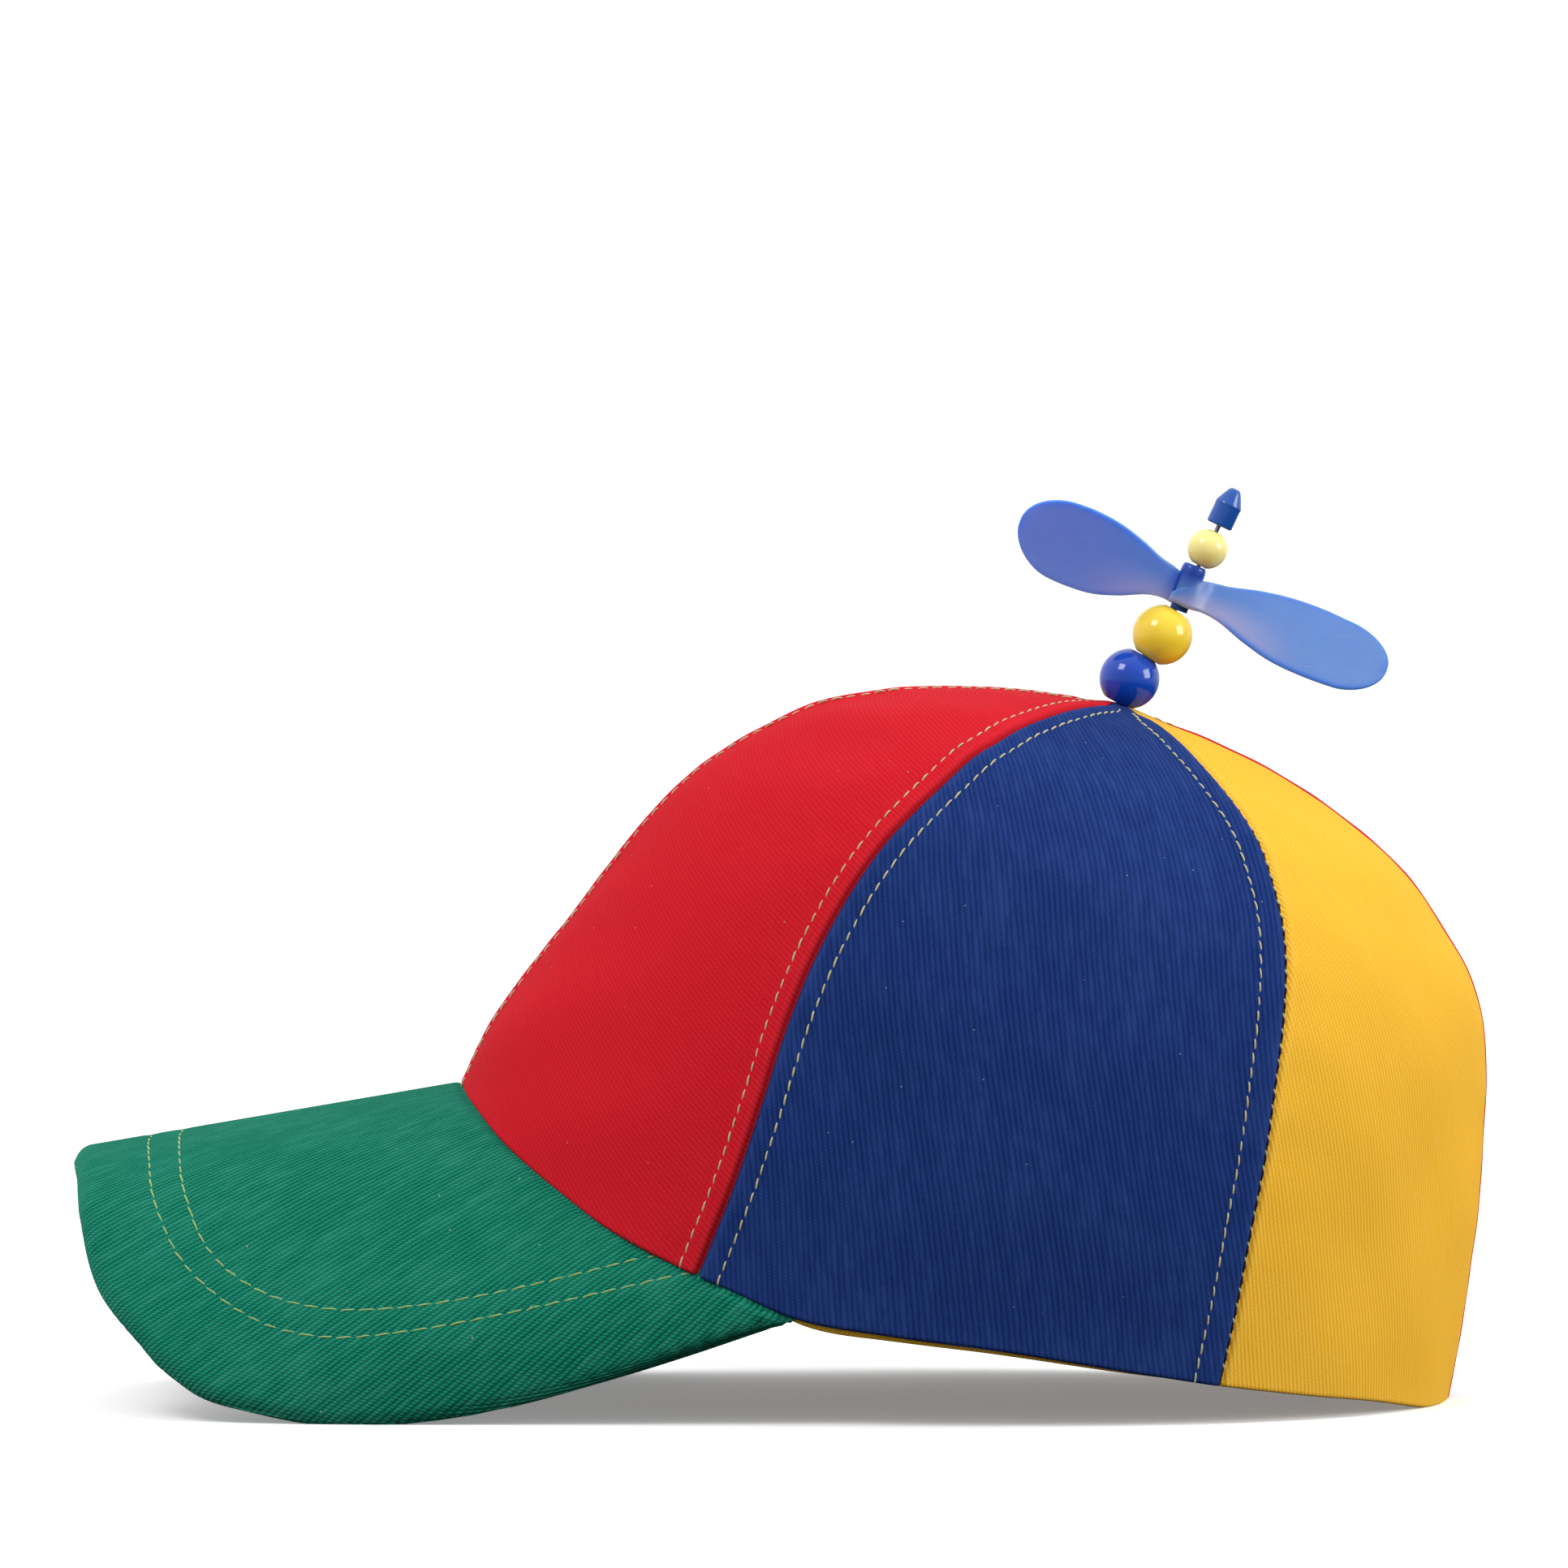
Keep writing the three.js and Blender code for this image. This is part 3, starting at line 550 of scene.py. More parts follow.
@dataclass(frozen=True)
class ThreadFinish:
    """Spun polyester sewing thread: a soft satin face with a fine twist."""

    name: str
    hex_code: str
    shade_hex: str

    def material(self) -> bpy.types.Material:
        """Build the thread's material."""
        material, shader = new_material(
            self.name,
            {
                "Roughness": 0.62,
                "Sheen Weight": 0.3,
                "Sheen Roughness": 0.4,
                "Specular IOR Level": 0.4,
            },
        )
        tree = material.node_tree
        place = add_node(tree, "ShaderNodeTexCoord").outputs["Object"]
        twist = add_node(
            tree, "ShaderNodeTexNoise", {"Vector": place, "Scale": 1 / (0.6 * MM), "Detail": 2.0}
        )
        colour = add_node(
            tree,
            "ShaderNodeMix",
            {0: twist.outputs[0], 6: linear_colour(self.shade_hex), 7: linear_colour(self.hex_code)},
            data_type="RGBA",
        )
        tree.links.new(colour.outputs[2], shader.inputs["Base Color"])
        return material


@dataclass(frozen=True)
class PlasticFinish:
    """Injection-moulded plastic: an even colour under a gloss or satin skin with faint waves."""

    name: str
    hex_code: str
    deep_hex: str
    roughness: float = 0.09
    shine: float = 0.42
    coat: float = 0.1
    glow: float = 0.0
    glow_depth: float = 0.0012
    ripple: float = 0.02

    def dress(
        self, tree: bpy.types.NodeTree, colour: bpy.types.NodeSocket
    ) -> bpy.types.NodeSocket:
        """Return the plastic's colour as it shows on the piece."""
        return colour

    def material(self) -> bpy.types.Material:
        """Build the plastic's material."""
        material, shader = new_material(
            self.name,
            {
                "IOR": 1.52,
                "Specular IOR Level": self.shine,
                "Coat Weight": self.coat,
                "Coat Roughness": 0.06,
                "Subsurface Weight": self.glow,
                "Subsurface Radius": (1.0, 1.1, 1.6),
                "Subsurface Scale": self.glow_depth,
            },
        )
        tree = material.node_tree
        place = add_node(tree, "ShaderNodeTexCoord").outputs["Object"]
        flow = add_node(
            tree, "ShaderNodeTexNoise", {"Vector": place, "Scale": 1 / (7 * MM), "Detail": 2.0}
        )
        colour = add_node(
            tree,
            "ShaderNodeMix",
            {0: flow.outputs[0], 6: linear_colour(self.deep_hex), 7: linear_colour(self.hex_code)},
            data_type="RGBA",
        )
        tree.links.new(self.dress(tree, colour.outputs[2]), shader.inputs["Base Color"])
        scuffs = add_node(
            tree, "ShaderNodeTexNoise", {"Vector": place, "Scale": 1 / (1.4 * MM), "Detail": 4.0}
        )
        gloss = add_node(
            tree,
            "ShaderNodeMapRange",
            {0: scuffs.outputs[0], 1: 0.35, 2: 0.75, 3: self.roughness, 4: self.roughness * 1.8},
        )
        tree.links.new(gloss.outputs[0], shader.inputs["Roughness"])
        bump = add_node(
            tree,
            "ShaderNodeBump",
            {"Strength": 0.5, "Distance": self.ripple * MM, "Height": flow.outputs[0]},
        )
        tree.links.new(bump.outputs[0], shader.inputs["Normal"])
        return material


@dataclass(frozen=True)
class BladeFinish(PlasticFinish):
    """Thin moulded polypropylene, scratched, with painted edge highlights, root light and hub shade.
    """

    # The rim colour is a painted highlight along the blade's edges, the root colour painted pale
    # light through the thin blade at its lower root, and the hub colour a painted deeper shade on
    # the thick hub.
    rim_highlight_hex: str = "#2c62c4"
    root_light_hex: str = "#8789b4"
    hub_shade_hex: str = "#123c9c"
    scratch_hex: str = "#9fb2dc"

    def dress(
        self, tree: bpy.types.NodeTree, colour: bpy.types.NodeSocket
    ) -> bpy.types.NodeSocket:
        """Mix the scratches and the painted rim highlight, root light and hub shade over the blade's
        colour.

        Args:
            tree: The material's tree.
            colour: The blade's own colour.

        Returns:
            The colour that shows.
        """
        place = add_node(tree, "ShaderNodeTexCoord").outputs["Object"]
        drawn = add_node(
            tree,
            "ShaderNodeMapping",
            {
                "Vector": place,
                "Rotation": (0, 0.5, 0),
                "Scale": (1 / (9 * MM), 1 / (9 * MM), 1 / (0.25 * MM)),
            },
        )
        scratches = add_node(
            tree, "ShaderNodeTexNoise", {"Vector": drawn.outputs[0], "Scale": 1.0, "Detail": 3.0}
        )
        scratch = add_node(
            tree,
            "ShaderNodeMapRange",
            {0: scratches.outputs[0], 1: 0.64, 2: 0.72, 3: 0.0, 4: 0.12},
        )
        masks = [(scratch.outputs[0], self.scratch_hex)]
        # Painted highlight along the rim, painted pale light at the lower root and painted deeper
        # shade on the hub, over the blade's colour and its scratches.
        looks = {"root": self.root_light_hex, "rim": self.rim_highlight_hex, "hub": self.hub_shade_hex}
        for name, hex_code in looks.items():
            mask = add_node(tree, "ShaderNodeAttribute", attribute_name=name)
            masks.append((mask.outputs["Fac"], hex_code))
        for mask, hex_code in masks:
            mixed = add_node(
                tree,
                "ShaderNodeMix",
                {0: mask, 6: colour, 7: linear_colour(hex_code)},
                data_type="RGBA",
            )
            colour = mixed.outputs[2]
        return colour


@dataclass(frozen=True)
class WireFinish:
    """Drawn steel wire: grey metal with fine lines along it from the die."""

    name: str = "drawn_steel_wire"
    hex_code: str = "#9a9da0"
    roughness: float = 0.32

    def material(self) -> bpy.types.Material:
        """Build the wire's material."""
        material, shader = new_material(self.name, {"Metallic": 1.0, "Anisotropic": 0.3})
        tree = material.node_tree
        place = add_node(tree, "ShaderNodeTexCoord").outputs["Object"]
        drawn = add_node(
            tree,
            "ShaderNodeMapping",
            {"Vector": place, "Scale": (1 / (0.12 * MM), 1 / (0.12 * MM), 1 / (5 * MM))},
        )
        lines = add_node(tree, "ShaderNodeTexNoise", {"Vector": drawn.outputs[0], "Scale": 1.0})
        colour = add_node(
            tree,
            "ShaderNodeMix",
            {0: lines.outputs[0], 6: linear_colour("#6f7275"), 7: linear_colour(self.hex_code)},
            data_type="RGBA",
        )
        tree.links.new(colour.outputs[2], shader.inputs["Base Color"])
        gloss = add_node(
            tree,
            "ShaderNodeMapRange",
            {0: lines.outputs[0], 3: self.roughness * 0.8, 4: self.roughness * 1.3},
        )
        tree.links.new(gloss.outputs[0], shader.inputs["Roughness"])
        return material


def link_object(name: str, data: bpy.types.ID) -> bpy.types.Object:
    """Make an object of a mesh, a light or a camera and link it to the scene."""
    linked = bpy.data.objects.new(name, data)
    bpy.context.scene.collection.objects.link(linked)
    return linked


def shade_smooth(mesh: bpy.types.Mesh, sharp_deg: float) -> None:
    """Shade a mesh smooth, apart from its edges from an angle in degrees."""
    mesh.polygons.foreach_set("use_smooth", np.ones(len(mesh.polygons), dtype=bool))
    mesh.set_sharp_from_angle(angle=math.radians(sharp_deg))


def rolled_edge(distance: np.ndarray, radius: float) -> np.ndarray:
    """Return how far a round edge falls back at distances from it, all in millimetres."""
    short = np.clip(radius - distance, 0, radius)
    return radius - np.sqrt(radius**2 - short**2)


def make_piece(
    name: str,
    points: np.ndarray,
    faces: np.ndarray | list,
    material: bpy.types.Material,
    maps: dict[str, np.ndarray] | None = None,
    sharp_deg: float = 50.0,
) -> bpy.types.Object:
    """Make a smooth-shaded object at the origin, with its place in its mesh.

    Args:
        name: The piece's name.
        points: Its points in metres.
        faces: The corners of each face.
        material: Its finish.
        maps: "cloth_mm" as a map and "wear" as a number, each with one row for each point.
        sharp_deg: The angle from which an edge shows as sharp.

    Returns:
        The object, linked to the scene.
    """
    mesh = bpy.data.meshes.new(name)
    corners = faces.tolist() if isinstance(faces, np.ndarray) else faces
    mesh.from_pydata(np.asarray(points).reshape(-1, 3).tolist(), [], corners)
    mesh.validate()
    turn_outwards(mesh)
    for key, values in (maps or {}).items():
        if key == "wear":
            layer = mesh.attributes.new(key, "FLOAT", "POINT")
            layer.data.foreach_set("value", np.asarray(values, dtype=np.float32).ravel())
        else:
            corner = np.empty(len(mesh.loops), dtype=np.int64)
            mesh.loops.foreach_get("vertex_index", corner)
            layer = mesh.uv_layers.new(name=key)
            spread = np.asarray(values, dtype=np.float32).reshape(-1, 2)[corner]
            layer.data.foreach_set("uv", spread.ravel())
    mesh.materials.append(material)
    shade_smooth(mesh, sharp_deg)
    return link_object(name, mesh)


def turn_outwards(mesh: bpy.types.Mesh) -> None:
    """Turn every face of a closed mesh round if the mesh is inside out."""
    mesh.calc_loop_triangles()
    corners = np.empty(3 * len(mesh.loop_triangles), dtype=np.int64)
    mesh.loop_triangles.foreach_get("vertices", corners)
    places = np.empty(3 * len(mesh.vertices))
    mesh.vertices.foreach_get("co", places)
    a, b, c = places.reshape(-1, 3)[corners.reshape(-1, 3)].transpose(1, 0, 2)
    if np.einsum("ij,ij->i", a, np.cross(b, c)).sum() < 0:
        mesh.flip_normals()


def wall_faces(rows: int, columns: int) -> np.ndarray:
    """Return the faces of a closed wall between two grids of points, the outer one first."""
    grid = np.arange(2 * rows * columns).reshape(2, rows, columns)
    outer, inner = grid

    def sheet(g: np.ndarray) -> np.ndarray:
        """Return the faces of one grid."""
        return np.stack((g[:-1, :-1], g[:-1, 1:], g[1:, 1:], g[1:, :-1]), axis=-1).reshape(-1, 4)

    def rim(a: np.ndarray, b: np.ndarray) -> np.ndarray:
        """Return the faces between two edges."""
        return np.stack((a[:-1], b[:-1], b[1:], a[1:]), axis=-1).reshape(-1, 4)

    return np.concatenate(
        (
            sheet(outer),
            sheet(inner)[:, ::-1],
            rim(outer[0], inner[0]),
            rim(inner[-1], outer[-1]),
            rim(inner[:, 0], outer[:, 0]),
            rim(outer[:, -1], inner[:, -1]),
        )
    )


@dataclass(frozen=True)
class SewnRow:
    """A row of stitches: points that it runs through and the way that the cloth faces there."""

    points: np.ndarray
    facing: np.ndarray


@dataclass(frozen=True)
class StitchSize:
    """Sizes of a row's stitches in millimetres, and how far each turns from the row in degrees."""

    pitch: float
    length: float
    thickness: float
    sink: float = 0.22
    slant_deg: float = 7.0
    seed: int = 1


class StitchingMachine:
    """Sews rows of stitches with one Geometry Nodes tree."""

    def __init__(self) -> None:
        """Build the tree with its named inputs."""
        self.tree = bpy.data.node_groups.new("stitch_rows", "GeometryNodeTree")
        face = self.tree.interface
        face.new_socket("Geometry", in_out="INPUT", socket_type="NodeSocketGeometry")
        for name in ("Pitch", "Length", "Thickness", "Sink", "Slant"):
            face.new_socket(name, in_out="INPUT", socket_type="NodeSocketFloat")
        face.new_socket("Seed", in_out="INPUT", socket_type="NodeSocketInt")
        face.new_socket("Thread", in_out="INPUT", socket_type="NodeSocketMaterial")
        face.new_socket("Geometry", in_out="OUTPUT", socket_type="NodeSocketGeometry")
        self._wire()

    def _wire(self) -> None:
        """Add the tree's nodes: a bowed thread on every point of the row, turned along it."""
        tree = self.tree
        given = add_node(tree, "NodeGroupInput").outputs
        wobble = add_node(
            tree,
            "FunctionNodeRandomValue",
            {2: -0.05, 3: 0.05, "Seed": given["Seed"]},
            data_type="FLOAT",
        )
        made = {name: given[name] for name in ("Length", "Thickness", "Sink", "Slant", "Seed")}
        made["share"] = add_node(tree, "GeometryNodeSplineParameter").outputs["Factor"]
        made["wobble"] = wobble.outputs[1]
        sums = (
            ("half", "MULTIPLY", "Length", 0.5),
            ("back", "MULTIPLY", "half", -1.0),
            ("under", "MULTIPLY", "Sink", -1.0),
            ("offset", "MULTIPLY_ADD", "share", 2.0, -1.0),
            ("from_middle", "ABSOLUTE", "offset"),
            ("near_end", "POWER", "from_middle", 4.0),
            ("thinner", "MULTIPLY", "near_end", 0.85),
            ("thick", "SUBTRACT", 1.0, "thinner"),
            ("round_end", "SQRT", "thick"),
            ("radius", "MULTIPLY", "Thickness", 0.5),
            ("angle", "ADD", "Slant", "wobble"),
            ("size_seed", "ADD", "Seed", 7.0),
        )
        for name, operation, *values in sums:
            inputs = {i: made.get(value, value) for i, value in enumerate(values)}
            made[name] = add_node(tree, "ShaderNodeMath", inputs, operation=operation).outputs[0]

        start = add_node(tree, "ShaderNodeCombineXYZ", {0: made["back"], 2: made["under"]})
        middle = add_node(tree, "ShaderNodeCombineXYZ", {2: given["Sink"]})
        end = add_node(tree, "ShaderNodeCombineXYZ", {0: made["half"], 2: made["under"]})
        bow = add_node(
            tree,
            "GeometryNodeCurveQuadraticBezier",
            {
                "Resolution": 7,
                "Start": start.outputs[0],
                "Middle": middle.outputs[0],
                "End": end.outputs[0],
            },
        )
        tapered = add_node(
            tree,
            "GeometryNodeSetCurveRadius",
            {"Curve": bow.outputs[0], "Radius": made["round_end"]},
        )
        ring = add_node(
            tree,
            "GeometryNodeCurvePrimitiveCircle",
            {"Resolution": 7, "Radius": made["radius"]},
        )
        thread = add_node(
            tree,
            "GeometryNodeCurveToMesh",
            {
                "Curve": tapered.outputs[0],
                "Profile Curve": ring.outputs[0],
                "Scale": made["round_end"],
                "Fill Caps": True,
            },
        )
        smooth = add_node(tree, "GeometryNodeSetShadeSmooth", {"Geometry": thread.outputs[0]})
        line = add_node(tree, "GeometryNodeMeshToCurve", {"Mesh": given["Geometry"]})
        spaced = add_node(
            tree,
            "GeometryNodeResampleCurve",
            {"Curve": line.outputs[0], "Length": given["Pitch"]},
            mode="LENGTH",
        )
        tangent = add_node(tree, "GeometryNodeInputTangent")
        facing = add_node(
            tree, "GeometryNodeInputNamedAttribute", {"Name": "facing"}, data_type="FLOAT_VECTOR"
        )
        along = add_node(
            tree, "FunctionNodeAlignRotationToVector", {"Vector": tangent.outputs[0]}, axis="X"
        )
        upright = add_node(
            tree,
            "FunctionNodeAlignRotationToVector",
            {"Rotation": along.outputs[0], "Vector": facing.outputs[0]},
            axis="Z",
            pivot_axis="X",
        )
        slant = add_node(
            tree,
            "FunctionNodeAxisAngleToRotation",
            {"Axis": (0, 0, 1), "Angle": made["angle"]},
        )
        turned = add_node(
            tree,
            "FunctionNodeRotateRotation",
            {"Rotation": upright.outputs[0], "Rotate By": slant.outputs[0]},
            rotation_space="LOCAL",
        )
        size = add_node(
            tree,
            "FunctionNodeRandomValue",
            {2: 0.9, 3: 1.06, "Seed": made["size_seed"]},
            data_type="FLOAT",
        )
        sewn = add_node(
            tree,
            "GeometryNodeInstanceOnPoints",
            {
                "Points": spaced.outputs[0],
                "Instance": smooth.outputs[0],
                "Rotation": turned.outputs[0],
                "Scale": size.outputs[1],
            },
        )
        real = add_node(tree, "GeometryNodeRealizeInstances", {0: sewn.outputs[0]})
        dressed = add_node(
            tree, "GeometryNodeSetMaterial", {0: real.outputs[0], "Material": given["Thread"]}
        )
        add_node(tree, "NodeGroupOutput", {0: dressed.outputs[0]})

    def sew(
        self, name: str, rows: list[SewnRow], size: StitchSize, thread: bpy.types.Material
    ) -> bpy.types.Object:
        """Sew some rows as one piece.

        Args:
            name: The piece's name.
            rows: The rows, in metres.
            size: The stitches' sizes.
            thread: The thread's material.

        Returns:
            A plain mesh object with no modifier.
        """
        mesh = bpy.data.meshes.new(name + "_path")
        edges, first = [], 0
        for row in rows:
            edges += [(first + i, first + i + 1) for i in range(len(row.points) - 1)]
            first += len(row.points)
        mesh.from_pydata(np.concatenate([row.points for row in rows]).tolist(), edges, [])
        facing = mesh.attributes.new("facing", "FLOAT_VECTOR", "POINT")
        facing.data.foreach_set("vector", np.concatenate([row.facing for row in rows]).ravel())
        path = link_object(name + "_path", mesh)
        modifier = path.modifiers.new("stitches", "NODES")
        modifier.node_group = self.tree
        values = {
            "Pitch": size.pitch * MM,
            "Length": size.length * MM,
            "Thickness": size.thickness * MM,
            "Sink": size.sink * MM,
            "Slant": math.radians(size.slant_deg),
            "Seed": size.seed,
            "Thread": thread,
        }
        for socket in self.tree.interface.items_tree:
            if socket.in_out == "INPUT" and socket.name in values:
                modifier[socket.identifier] = values[socket.name]
        evaluated = path.evaluated_get(bpy.context.evaluated_depsgraph_get())
        sewn = bpy.data.meshes.new_from_object(evaluated)
        sewn.name = name
        bpy.data.objects.remove(path)
        bpy.data.meshes.remove(mesh)
        return link_object(name, sewn)


class Slot(Enum):
    """The record's material slots that the pieces take their finish from."""

    RED = "red_twill"
    BLUE = "blue_twill"
    YELLOW = "yellow_twill"
    GREEN = "green_twill"
    BLUE_BEAD = "blue_bead"
    YELLOW_BEAD = "yellow_bead"
    PALE_BEAD = "pale_yellow_bead"
    PROPELLER = "blue_propeller"
    END_CAP = "blue_end_cap"
    WIRE = "steel_wire"
    FOOT = "white_plastic"


def install(piece: bpy.types.Object, body: str, slot: Slot, *nodes: str) -> None:
    """Tell the frame what a piece rides on, and hide the CAD nodes that it stands for.

    Args:
        piece: The finished piece.
        body: The body that it moves with.
        slot: The record's slot for its finish. It is not used.
        nodes: The CAD nodes that it replaces.
    """
    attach(piece, body)
    if nodes:
        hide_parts(*nodes)
    faces = len(piece.data.polygons)
    LOG.info("%s rides on %s with %d faces", piece.name, body, faces)


@dataclass(frozen=True)
class PanelCut:
    """One panel of the crown, and how far its stitch rows lie from its two seams."""

    place: str
    slot: Slot
    first_row: float | None = None
    last_row: float | None = None
    first_rise: float = 0.42
    last_rise: float = 0.42


@dataclass
class Crown:
    """Six panels of twill sewn together, pressed open and topstitched beside the seams."""

    form: CrownForm
    rest: RestingPlace
    machine: StitchingMachine
    row_step: float = 1.1
    middle_columns: int = 46
    seam_gap: float = 0.02
    groove_depth: float = 0.8
    plain_groove: float = 0.4
    groove_width: float = 0.6
    row_dimple: float = 0.22
    row_convergence: float = 0.36
    thread_lift: float = 0.12
    relief_base: float = -0.15
    apex_rise: float = 0.5
    clear_of_floor: float = 0.9
    bare_inset: float = 0.4
    bare_depth: float = 0.3
    # The gap rows are short dark pieces deep in the open seams: painted shadow in the seams' gaps.
    gap_inset: float = 0.1
    gap_depth: float = 0.5
    seam_shadow_bits: StitchSize = StitchSize(pitch=3.0, length=1.3, thickness=0.4, slant_deg=0, seed=9)
    stitches: StitchSize = StitchSize(pitch=2.85, length=2.3, thickness=0.38)
    seam_bits: StitchSize = StitchSize(pitch=3.0, length=1.0, thickness=0.5, slant_deg=24, seed=5)
    cuts: tuple[PanelCut, ...] = (
        PanelCut("front_left", Slot.RED, 4.0, 4.0),
        PanelCut("side_left", Slot.BLUE, 4.6, 6.0),
        PanelCut("rear_left", Slot.YELLOW, first_rise=0.2, last_rise=0.1),
        PanelCut("rear_right", Slot.RED, 4.0, 4.0, first_rise=0.45),
        PanelCut("side_right", Slot.BLUE, 4.6, 6.0),
        PanelCut("front_right", Slot.YELLOW, first_rise=0.2, last_rise=0.2),
    )
    edge_offsets: tuple[float, ...] = (
        0, 0.12, 0.26, 0.42, 0.62, 0.88, 1.2, 1.7, 2.4, 3.1, 3.6, 4.0, 4.4, 4.9, 5.5, 6.0, 6.5, 7.3,
    )
    hem_rows: tuple[float, ...] = (0, 0.06, 0.15, 0.3, 0.5, 0.75, 1.1, 1.6, 2.4)
    samples: int = 49
    rows_below_thread: int = 6
    rows_above_thread: int = 7
    swell_height: float = 0.13
    pucker_height: float = 0.05
    rows_sewn: list[SewnRow] = field(default_factory=list)

    def build(
        self,
        finishes: dict[Slot, bpy.types.Material],
        thread: bpy.types.Material,
        seam_shadow: bpy.types.Material,
    ) -> None:
        """Make the panels and their stitches.

        Args:
            finishes: The cloths by slot.
            thread: The thread of the rows.
            seam_shadow: The dark maroon finish of the short pieces deep in the open seams, which are
                painted shadow in the seams' gaps.
        """
        for index, cut in enumerate(self.cuts):
            piece = self.panel(index, cut, finishes[cut.slot])
            install(piece, "cap", cut.slot, "crown_panel_" + cut.place)
        rows = self.machine.sew("crown_topstitching", self.rows_sewn, self.stitches, thread)
        install(rows, "cap", Slot.YELLOW)
        open_seams = (1, 4)
        bits = [self.seam_row(i, self.bare_inset, self.bare_depth, 0.0) for i in open_seams]
        seam = self.machine.sew("crown_seam_thread", bits, self.seam_bits, thread)
        install(seam, "cap", Slot.YELLOW)
        # Dark maroon pieces deep in the open seams, between the bare thread, are painted shadow in
        # the seams' gaps.
        gaps = [self.seam_row(i, self.gap_inset, self.gap_depth, 1.5) for i in open_seams]
        deep = self.machine.sew("crown_seam_painted_shadow", gaps, self.seam_shadow_bits, seam_shadow)
        install(deep, "cap", Slot.RED)

    def shares(self, index: int) -> np.ndarray:
        """Return the ways up a panel of its rows, evenly spaced along its middle."""
        fine = np.linspace(0, 1, 800)
        climb = run_lengths(self.form.face(index + 0.5, fine), 0)
        steps = np.arange(self.hem_rows[-1] + self.row_step, climb[-1] - 0.3, self.row_step)
        targets = np.concatenate((self.hem_rows, steps, [climb[-1]]))
        return np.interp(targets, climb, fine)

    def arcs(self, index: int, share: np.ndarray) -> np.ndarray:
        """Return, for each way up a panel, how far its samples lie from the first seam."""
        span = np.linspace(0, 1, self.samples)
        return run_lengths(self.form.face(index + span[None, :], share[:, None]), 1)

    def ways_across(self, offset: np.ndarray, arc: np.ndarray) -> np.ndarray:
        """Return the ways across a panel, from 0 to 1, of distances from its first seam."""
        span = np.linspace(0, 1, self.samples)
        return np.array([np.interp(d, a, span) for d, a in zip(offset, arc)])

    def columns(self, width: np.ndarray) -> np.ndarray:
        """Return the distances from a panel's first seam of its columns, close near both seams.

        Args:
            width: The panel's width at each row.

        Returns:
            The distances, one row for each width.
        """
        edge = np.array(self.edge_offsets)
        squeeze = np.minimum(1, width / (2 * edge[-1] + 8))[:, None]
        near = self.seam_gap + edge * squeeze
        far = width[:, None] - near[:, ::-1]
        middle = np.linspace(0, 1, self.middle_columns + 2)[1:-1]
        return np.concatenate((near, lerp(near[:, -1:], far[:, :1], middle), far), axis=1)

    def relief(
        self, cut: PanelCut, first: np.ndarray, last: np.ndarray, climb: np.ndarray, seed: int
    ) -> np.ndarray:
        """Return how far the cloth stands off the plain form.

        Args:
            cut: The panel.
            first: Distances from its first seam.
            last: Distances from its last seam.
            climb: Distances up from the hem.
            seed: For the unevenness.

        Returns:
            The heights in millimetres, outwards.
        """
        width = first + last
        calm = smooth_step(3, 14, width)
        height = np.full_like(width, self.relief_base)
        height += (self.apex_rise - self.relief_base) * (1 - smooth_step(2, 9, width))
        seams = ((first, cut.first_row, cut.first_rise), (last, cut.last_row, cut.last_rise))
        for distance, row, rise in seams:
            depth = self.groove_depth if row else self.plain_groove
            height -= depth * calm * np.exp(-((distance / self.groove_width) ** 2))
            sewn = row or 2.2
            stitched = np.minimum(sewn, self.row_convergence * width)
            fade = 1 - smooth_step(stitched - 0.3, stitched + 1.2, distance)
            height += rise * calm * smooth_step(0.2, 1.3, distance) * fade
            if row:
                dimple = np.exp(-(((distance - stitched) / 0.5) ** 2))
                height -= self.row_dimple * calm * dimple
        random = np.random.default_rng(40 + seed)
        near = np.minimum(first, last)
        for _ in range(6):
            turn, phase = random.uniform(0, math.pi), random.uniform(0, 2 * math.pi)
            wave = random.uniform(24, 62)
            run = (first - last) / 2 * math.cos(turn) + climb * math.sin(turn)
            swell = np.sin(2 * math.pi * run / wave + phase)
            height += self.swell_height * swell * smooth_step(2, 12, near)
        for _ in range(4):
            wave, phase = random.uniform(7, 15), random.uniform(0, 2 * math.pi)
            pucker = self.pucker_height * calm * np.sin(2 * math.pi * climb / wave + phase)
            height += pucker * np.exp(-near / 7) * smooth_step(0.3, 2.5, near)
        return height

    def panel(self, index: int, cut: PanelCut, material: bpy.types.Material) -> bpy.types.Object:
        """Make one panel as a closed wall with a rolled hem, and keep its stitch rows.

        Args:
            index: The panel's place from the front centre seam.
            cut: Its name, colour and rows.
            material: Its cloth.

        Returns:
            The panel.
        """
        share = self.shares(index)
        arc = self.arcs(index, share)
        width = arc[:, -1]
        offset = self.columns(width)
        across = self.ways_across(offset, arc)
        place, up = index + across, np.broadcast_to(share[:, None], across.shape)
        base, outward = self.form.face(place, up), self.form.outward(place, up)
        climb = run_lengths(base, 0)
        middle = climb[:, climb.shape[1] // 2][:, None] + np.zeros_like(climb)
        height = self.relief(cut, offset, width[:, None] - offset, middle, index)
        roll = rolled_edge(climb, self.form.wall / 2)
        outer = base + outward * (height - roll)[..., None]
        inner = base - outward * (self.form.wall - roll)[..., None]
        points = np.stack((outer, inner))
        cloth = self.plumb(np.stack((offset - width[:, None] / 2, middle), axis=-1), base)
        near = np.minimum(offset, width[:, None] - offset)
        worn = 0.35 * np.exp(-(((near - 1.2) / 0.8) ** 2)) + 0.1 * np.exp(-climb / 1.2)
        for distance, at_end in ((cut.first_row, False), (cut.last_row, True)):
            if distance:
                self.rows_sewn.append(self.stitch_row(index, cut, share, arc, distance, at_end))
        return make_piece(
            "sewn_panel_" + cut.place,
            self.rest.place(points, cloth=True),
            wall_faces(*across.shape),
            material,
            {"cloth_mm": np.stack((cloth, cloth)), "wear": np.stack((worn, worn * 0))},
        )

